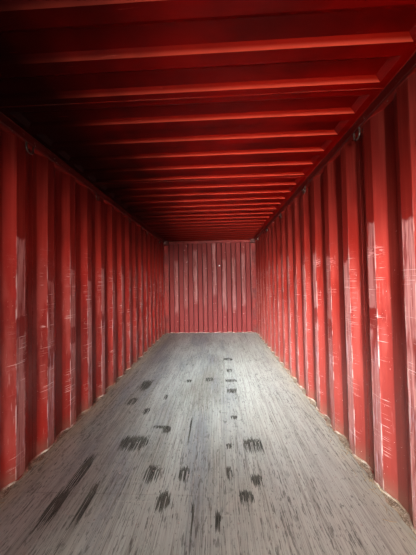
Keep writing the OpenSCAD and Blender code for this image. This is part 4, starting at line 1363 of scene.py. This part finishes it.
@dataclass(frozen=True)
class PostWelds:
    """Fillet welds between the eight corner fittings and the posts."""

    radius: float = 4.5 * MM
    lump: float = 0.6
    steps: int = 30

    def build(self, finish: bpy.types.Material) -> None:
        """Lays the beads round the post ends.

        Args:
            finish: The frame paint.
        """
        bm = bmesh.new()
        low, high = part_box("bottom_corner_fittings")[1].z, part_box("top_corner_fittings")[0].z
        for name in ("right_front_post", "right_rear_post"):
            a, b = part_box(name)
            end = a.x if "front" in name else b.x
            for side, _ in SIDES:
                for z in (low, high):
                    outer = [Vector((x, side * b.y, z)) for x in spaced(a.x, b.x, self.steps)]
                    across = [Vector((end, side * y, z)) for y in spaced(b.y, a.y, self.steps)]
                    bead(bm, outer, self.radius, self.lump)
                    bead(bm, across, self.radius, self.lump)
        piece("fitting_welds", bm, finish)


SCARS = (
    Scar(1.279, -0.782, 0.400, 0.072), Scar(1.530, -0.796, 0.300, 0.078), Scar(1.491, -0.619, 0.320, 0.044),
    Scar(1.003, -0.517, 0.214, 0.226), Scar(0.839, -0.288, 0.107, 0.075), Scar(-0.025, -0.749, 0.361, 0.129),
    Scar(0.367, -0.774, 0.186, 0.085), Scar(0.549, -0.560, 0.142, 0.066), Scar(1.291, -0.285, 0.159, 0.100),
    Scar(1.291, -0.065, 0.150, 0.070), Scar(1.483, -0.164, 0.155, 0.085), Scar(1.018, 0.445, 0.195, 0.150),
    Scar(1.326, 0.420, 0.104, 0.074), Scar(1.444, 0.336, 0.101, 0.088), Scar(1.584, 0.164, 0.137, 0.030),
    Scar(1.282, 0.243, 0.143, 0.040), Scar(1.031, 0.254, 0.075, 0.044), Scar(0.651, 0.322, 0.079, 0.062),
    Scar(0.847, -0.080, 0.431, 0.016), Scar(1.576, 0.020, 0.260, 0.014), Scar(-0.976, 0.346, 0.172, 0.150),
    Scar(-0.485, 0.344, 0.167, 0.085), Scar(-0.150, 0.344, 0.105, 0.150), Scar(0.127, 0.339, 0.148, 0.120),
    Scar(-0.190, 0.059, 0.154, 0.100), Scar(-0.144, -0.211, 0.120, 0.065), Scar(0.270, -0.423, 0.134, 0.036),
    Scar(0.800, -0.343, 0.056, 0.150),
)


@dataclass(frozen=True)
class Palette:
    """Every finish of the container, built once."""

    plan: Layout

    def build(self) -> dict[str, bpy.types.Material]:
        """Builds the finishes.

        Returns:
            The materials by the name of what they cover.
        """
        plan = self.plan
        finishes = {
            "right_wall": SheetPaint(plan, 1, "right_sheet_paint", 19.0),
            "left_wall": SheetPaint(plan, -1, "left_sheet_paint", 37.0, base="A4241A", knots=0.12, grime=0.30,
                                    haze=0.0),
            "front_wall": FrontPaint(plan),
            "roof": RoofPaint(plan),
            "frame": FramePaint(),
            "cast": FramePaint("cast_fitting_paint", base="8A2218", deep="5E140E", wear=0.60),
            "panel": FramePaint("door_sheet_paint", base="9C271C", deep="7C1A12", wear=0.70),
            "zinc": Galvanised(),
            "grimy_zinc": Galvanised("grimy_zinc", "6B5F59", "4D3D36", "857B74", "43241B"),
            "worn_zinc": Galvanised("worn_screw_zinc", light="C9C6BE", dark="8F8B84"),
            "plywood": Plywood(),
            "scar": BrokenVeneer(),
            "rubber": Rubber(),
            "sealant": Caulk(),
            "dust": Litter("gutter_dust", "B3A58E", "E0D6C2", "7C6B57"),
            "straw": Litter("dry_straw", "C2AC80", "DCCBA2", "8E7850", 12.0),
        }
        return {use: finish.build() for use, finish in finishes.items()}


@dataclass(frozen=True)
class Dressing:
    """Which finish each node of the CAD frame wears."""

    finishes: dict[str, bpy.types.Material]

    def finish_of(self, name: str) -> bpy.types.Material:
        """Picks a node's finish by its name.

        Args:
            name: Name of the CAD node.

        Returns:
            Its material.
        """
        if name in self.finishes:
            return self.finishes[name]
        words = (("fittings", "cast"), ("gasket", "rubber"), ("floor_sheets", "plywood"),
                 ("roof_sheets", "roof"), ("roof_corner", "roof"), ("door_panel", "panel"),
                 ("lock_bars", "zinc"), ("guides", "zinc"), ("handles", "zinc"), ("rings", "grimy_zinc"),
                 ("loops", "zinc"), ("pins", "zinc"))
        return self.finishes[next((key for word, key in words if word in name), "frame")]

    def dress(self, nodes: dict[str, bpy.types.Object]) -> None:
        """Gives the nodes their finishes.

        Args:
            nodes: The CAD nodes by name.
        """
        for name, obj in nodes.items():
            obj.data.materials.clear()
            obj.data.materials.append(self.finish_of(name))
        log.info("dressed %d nodes", len(nodes))


@dataclass(frozen=True)
class Lamp:
    """A soft rectangular lamp. Lengths are in metres, its power in watts and its spread in degrees."""

    name: str
    place: Vector
    target: Vector
    width: float
    height: float
    power: float
    colour: str
    spread: float = 180.0

    def light(self) -> None:
        """Hangs the lamp."""
        data = bpy.data.lights.new(self.name, "AREA")
        data.shape, data.size, data.size_y = "RECTANGLE", self.width, self.height
        data.energy, data.color, data.spread = self.power, linear(self.colour)[:3], math.radians(self.spread)
        obj = bpy.data.objects.new(self.name, data)
        aim = (self.target - self.place).to_track_quat("-Z", "Y").to_matrix().to_4x4()
        obj.matrix_world = Matrix.Translation(self.place) @ aim
        obj.visible_camera = False
        bpy.context.scene.collection.objects.link(obj)


@dataclass(frozen=True)
class Daylight:
    """One share of the daylight that fills the doorway, from one part of the sky or yard.

    It swings to the right and climbs by degrees, and stands at a height, with its own width and tallness.
    """

    name: str
    swing: float
    climb: float
    height: float
    width: float
    tall: float
    power: float
    spread: float
    colour: str = "FFFAF4"
    doorway: float = 3.02

    def lamp(self) -> Lamp:
        """Works out the lamp in the doorway that stands for it.

        Returns:
            A lamp that looks into the container.
        """
        turn, rise = math.radians(self.swing), math.radians(self.climb)
        ray = Vector((-math.cos(rise) * math.cos(turn), math.cos(rise) * math.sin(turn), math.sin(rise)))
        place = Vector((self.doorway, 0.0, self.height))
        return Lamp(self.name, place, place + ray, self.width, self.tall, self.power, self.colour,
                    self.spread)


LAMPS = (
    Lamp("key_lamp", Vector((-7, -10, 9)), Vector((0, 0, 1.2)), 7, 7, 1500, "FFF8F0"),
    Lamp("fill_lamp", Vector((-6, 11, 6)), Vector((0, 0, 1.2)), 7, 7, 600, "F2F6FF"),
    Lamp("door_end_lamp", Vector((9, -8, 6)), Vector((3.0, 0, 1.2)), 4, 4, 500, "FFFAF4"),
    Daylight("day_on_floor", 7, -20, height=1.75, width=1.8, tall=0.9, power=32, spread=38,
             colour="F6FAFF").lamp(),
    Daylight("day_ahead", 9, 0, height=1.31, width=2.2, tall=2.2, power=5.6, spread=24).lamp(),
    Daylight("day_on_right_ribs", 22, -9, height=1.31, width=2.2, tall=2.0, power=26, spread=30).lamp(),
    Daylight("day_on_left_ribs", -10, -5, height=1.31, width=2.2, tall=2.2, power=17, spread=26).lamp(),
    Daylight("day_on_roof", 11, 8, height=1.80, width=1.7, tall=1.2, power=9.0, spread=26).lamp(),
)


@dataclass(frozen=True)
class Studio:
    """Pale floor, white backdrop and soft lamps, with daylight that comes in at the doorway."""

    lamps: tuple[Lamp, ...]
    sky: float = 0.20
    haze: str = "F4F6FA"
    white: str = "FFFFFF"
    ground: str = "D9D7D3"
    speckle: str = "D4D2CE"
    radius: float = 60.0
    sunk: float = 1.5 * MM
    fade_from: float = 5.0
    fade_to: float = 11.0

    def seen(self, tree: bpy.types.NodeTree) -> Socket:
        """Tells rays that show the backdrop from rays that light the object.

        Args:
            tree: The node tree that asks.

        Returns:
            1 to the eye, in gloss and through glass, and 0 otherwise.
        """
        rays = node(tree, Kind.RAY).node.outputs
        seen = node(tree, Kind.MATH, MOST, i0=rays["Is Camera Ray"], i1=rays["Is Glossy Ray"])
        return node(tree, Kind.MATH, MOST, i0=seen, i1=rays["Is Transmission Ray"])

    def backdrop(self) -> None:
        """Makes the world: white where it is seen, and soft light otherwise."""
        world = bpy.data.worlds.new("soft_sky")
        world.use_nodes = True
        bpy.context.scene.world = world
        tree = world.node_tree
        tree.nodes.clear()
        soft = node(tree, Kind.SKY, Color=self.haze, Strength=self.sky)
        white = node(tree, Kind.SKY, Color=self.white, Strength=1.0)
        node(tree, Kind.WORLD, Surface=node(tree, Kind.EITHER, i0=self.seen(tree), i1=soft, i2=white))

    def floor(self) -> None:
        """Lays the pale floor under the container. Further out it fades into the white backdrop."""
        recipe = Recipe("studio_floor")
        add = recipe.add
        speck = recipe.patches((400, 400, 400), 0.4, 0.7, 4, 1)
        paint = add(Kind.SURFACE, Base_Color=recipe.stack(self.ground, (speck, self.speckle)), Roughness=0.7)
        reach = add(Kind.VECTOR, {"operation": "LENGTH"}, 1, i0=recipe.place)
        fade = add(Kind.RANGE, SMOOTH, Value=reach, i1=self.fade_from, i2=self.fade_to)
        fade = recipe.meet(fade, self.seen(recipe.material.node_tree))
        white = add(Kind.GLOW, Color=self.white, Strength=1.0)
        add(Kind.OUTPUT, Surface=add(Kind.EITHER, i0=fade, i1=paint, i2=white))
        bm = bmesh.new()
        bmesh.ops.create_circle(bm, cap_ends=True, segments=96, radius=self.radius,
                                matrix=Matrix.Translation((0, 0, -self.sunk)))
        mesh = bpy.data.meshes.new("studio_floor")
        bm.to_mesh(mesh)
        bm.free()
        mesh.materials.append(recipe.material)
        obj = bpy.data.objects.new("studio_floor", mesh)
        bpy.context.scene.collection.objects.link(obj)

    def build(self) -> None:
        """Sets up the whole studio."""
        self.backdrop()
        self.floor()
        for lamp in self.lamps:
            lamp.light()
        log.info("studio with %d lamps", len(self.lamps))


@dataclass(frozen=True)
class PhotoCamera:
    """The camera that took the photograph, in the doorway, looking at the closed end.

    Its place is in metres, its angles are in radians, and its focal length is in pixels of a frame that is
    as wide as the photograph.
    """

    place: Vector = Vector((2.8288, 0.1813, 1.4684))
    yaw: float = -0.0389558
    pitch: float = 0.0233828
    roll: float = -0.0178021
    focal: float = 222.8646
    frame_width: float = 416.0
    sensor: float = 36.0
    sight: Span = (0.02, 200.0)

    def build(self) -> None:
        """Places the camera."""
        c, s = math.cos, math.sin
        ahead = Vector((-c(self.pitch) * c(self.yaw), c(self.pitch) * s(self.yaw), s(self.pitch)))
        level = Vector((s(self.yaw), c(self.yaw), 0.0))
        up = level.cross(ahead)
        right = c(self.roll) * level + s(self.roll) * up
        above = c(self.roll) * up - s(self.roll) * level
        data = bpy.data.cameras.new("photo_camera")
        data.sensor_fit, data.sensor_width = "HORIZONTAL", self.sensor
        data.lens = self.focal / self.frame_width * self.sensor
        data.clip_start, data.clip_end = self.sight
        obj = bpy.data.objects.new("photo_camera", data)
        turn = Matrix((right, above, -ahead)).transposed().to_4x4()
        obj.matrix_world = Matrix.Translation(self.place) @ turn
        bpy.context.scene.collection.objects.link(obj)
        bpy.context.scene.camera = obj


def main() -> None:
    """Dresses the container, sets the studio and hands the scene over."""
    logging.basicConfig(level=logging.INFO, format="%(name)s: %(message)s")
    bpy.context.scene.view_settings.view_transform = "Standard"
    plan = Layout.measured()
    finishes = Palette(plan).build()
    Dressing(finishes).dress(frame["nodes"])
    jobs = ((FootSealant(plan), "sealant"), (GutterDust(plan), "dust"), (StrayStraw(plan), "straw"),
            (FloorScrews(plan), "worn_zinc"), (VeneerScars(plan, SCARS), "scar"), (RoofWelds(plan), "roof"),
            (WallWelds(plan), "frame"), (DoorTrim(), "zinc"), (PostWelds(), "frame"))
    for job, finish in jobs:
        job.build(finishes[finish])
    Studio(LAMPS).build()
    PhotoCamera().build()


if __name__ == "__main__":
    main()
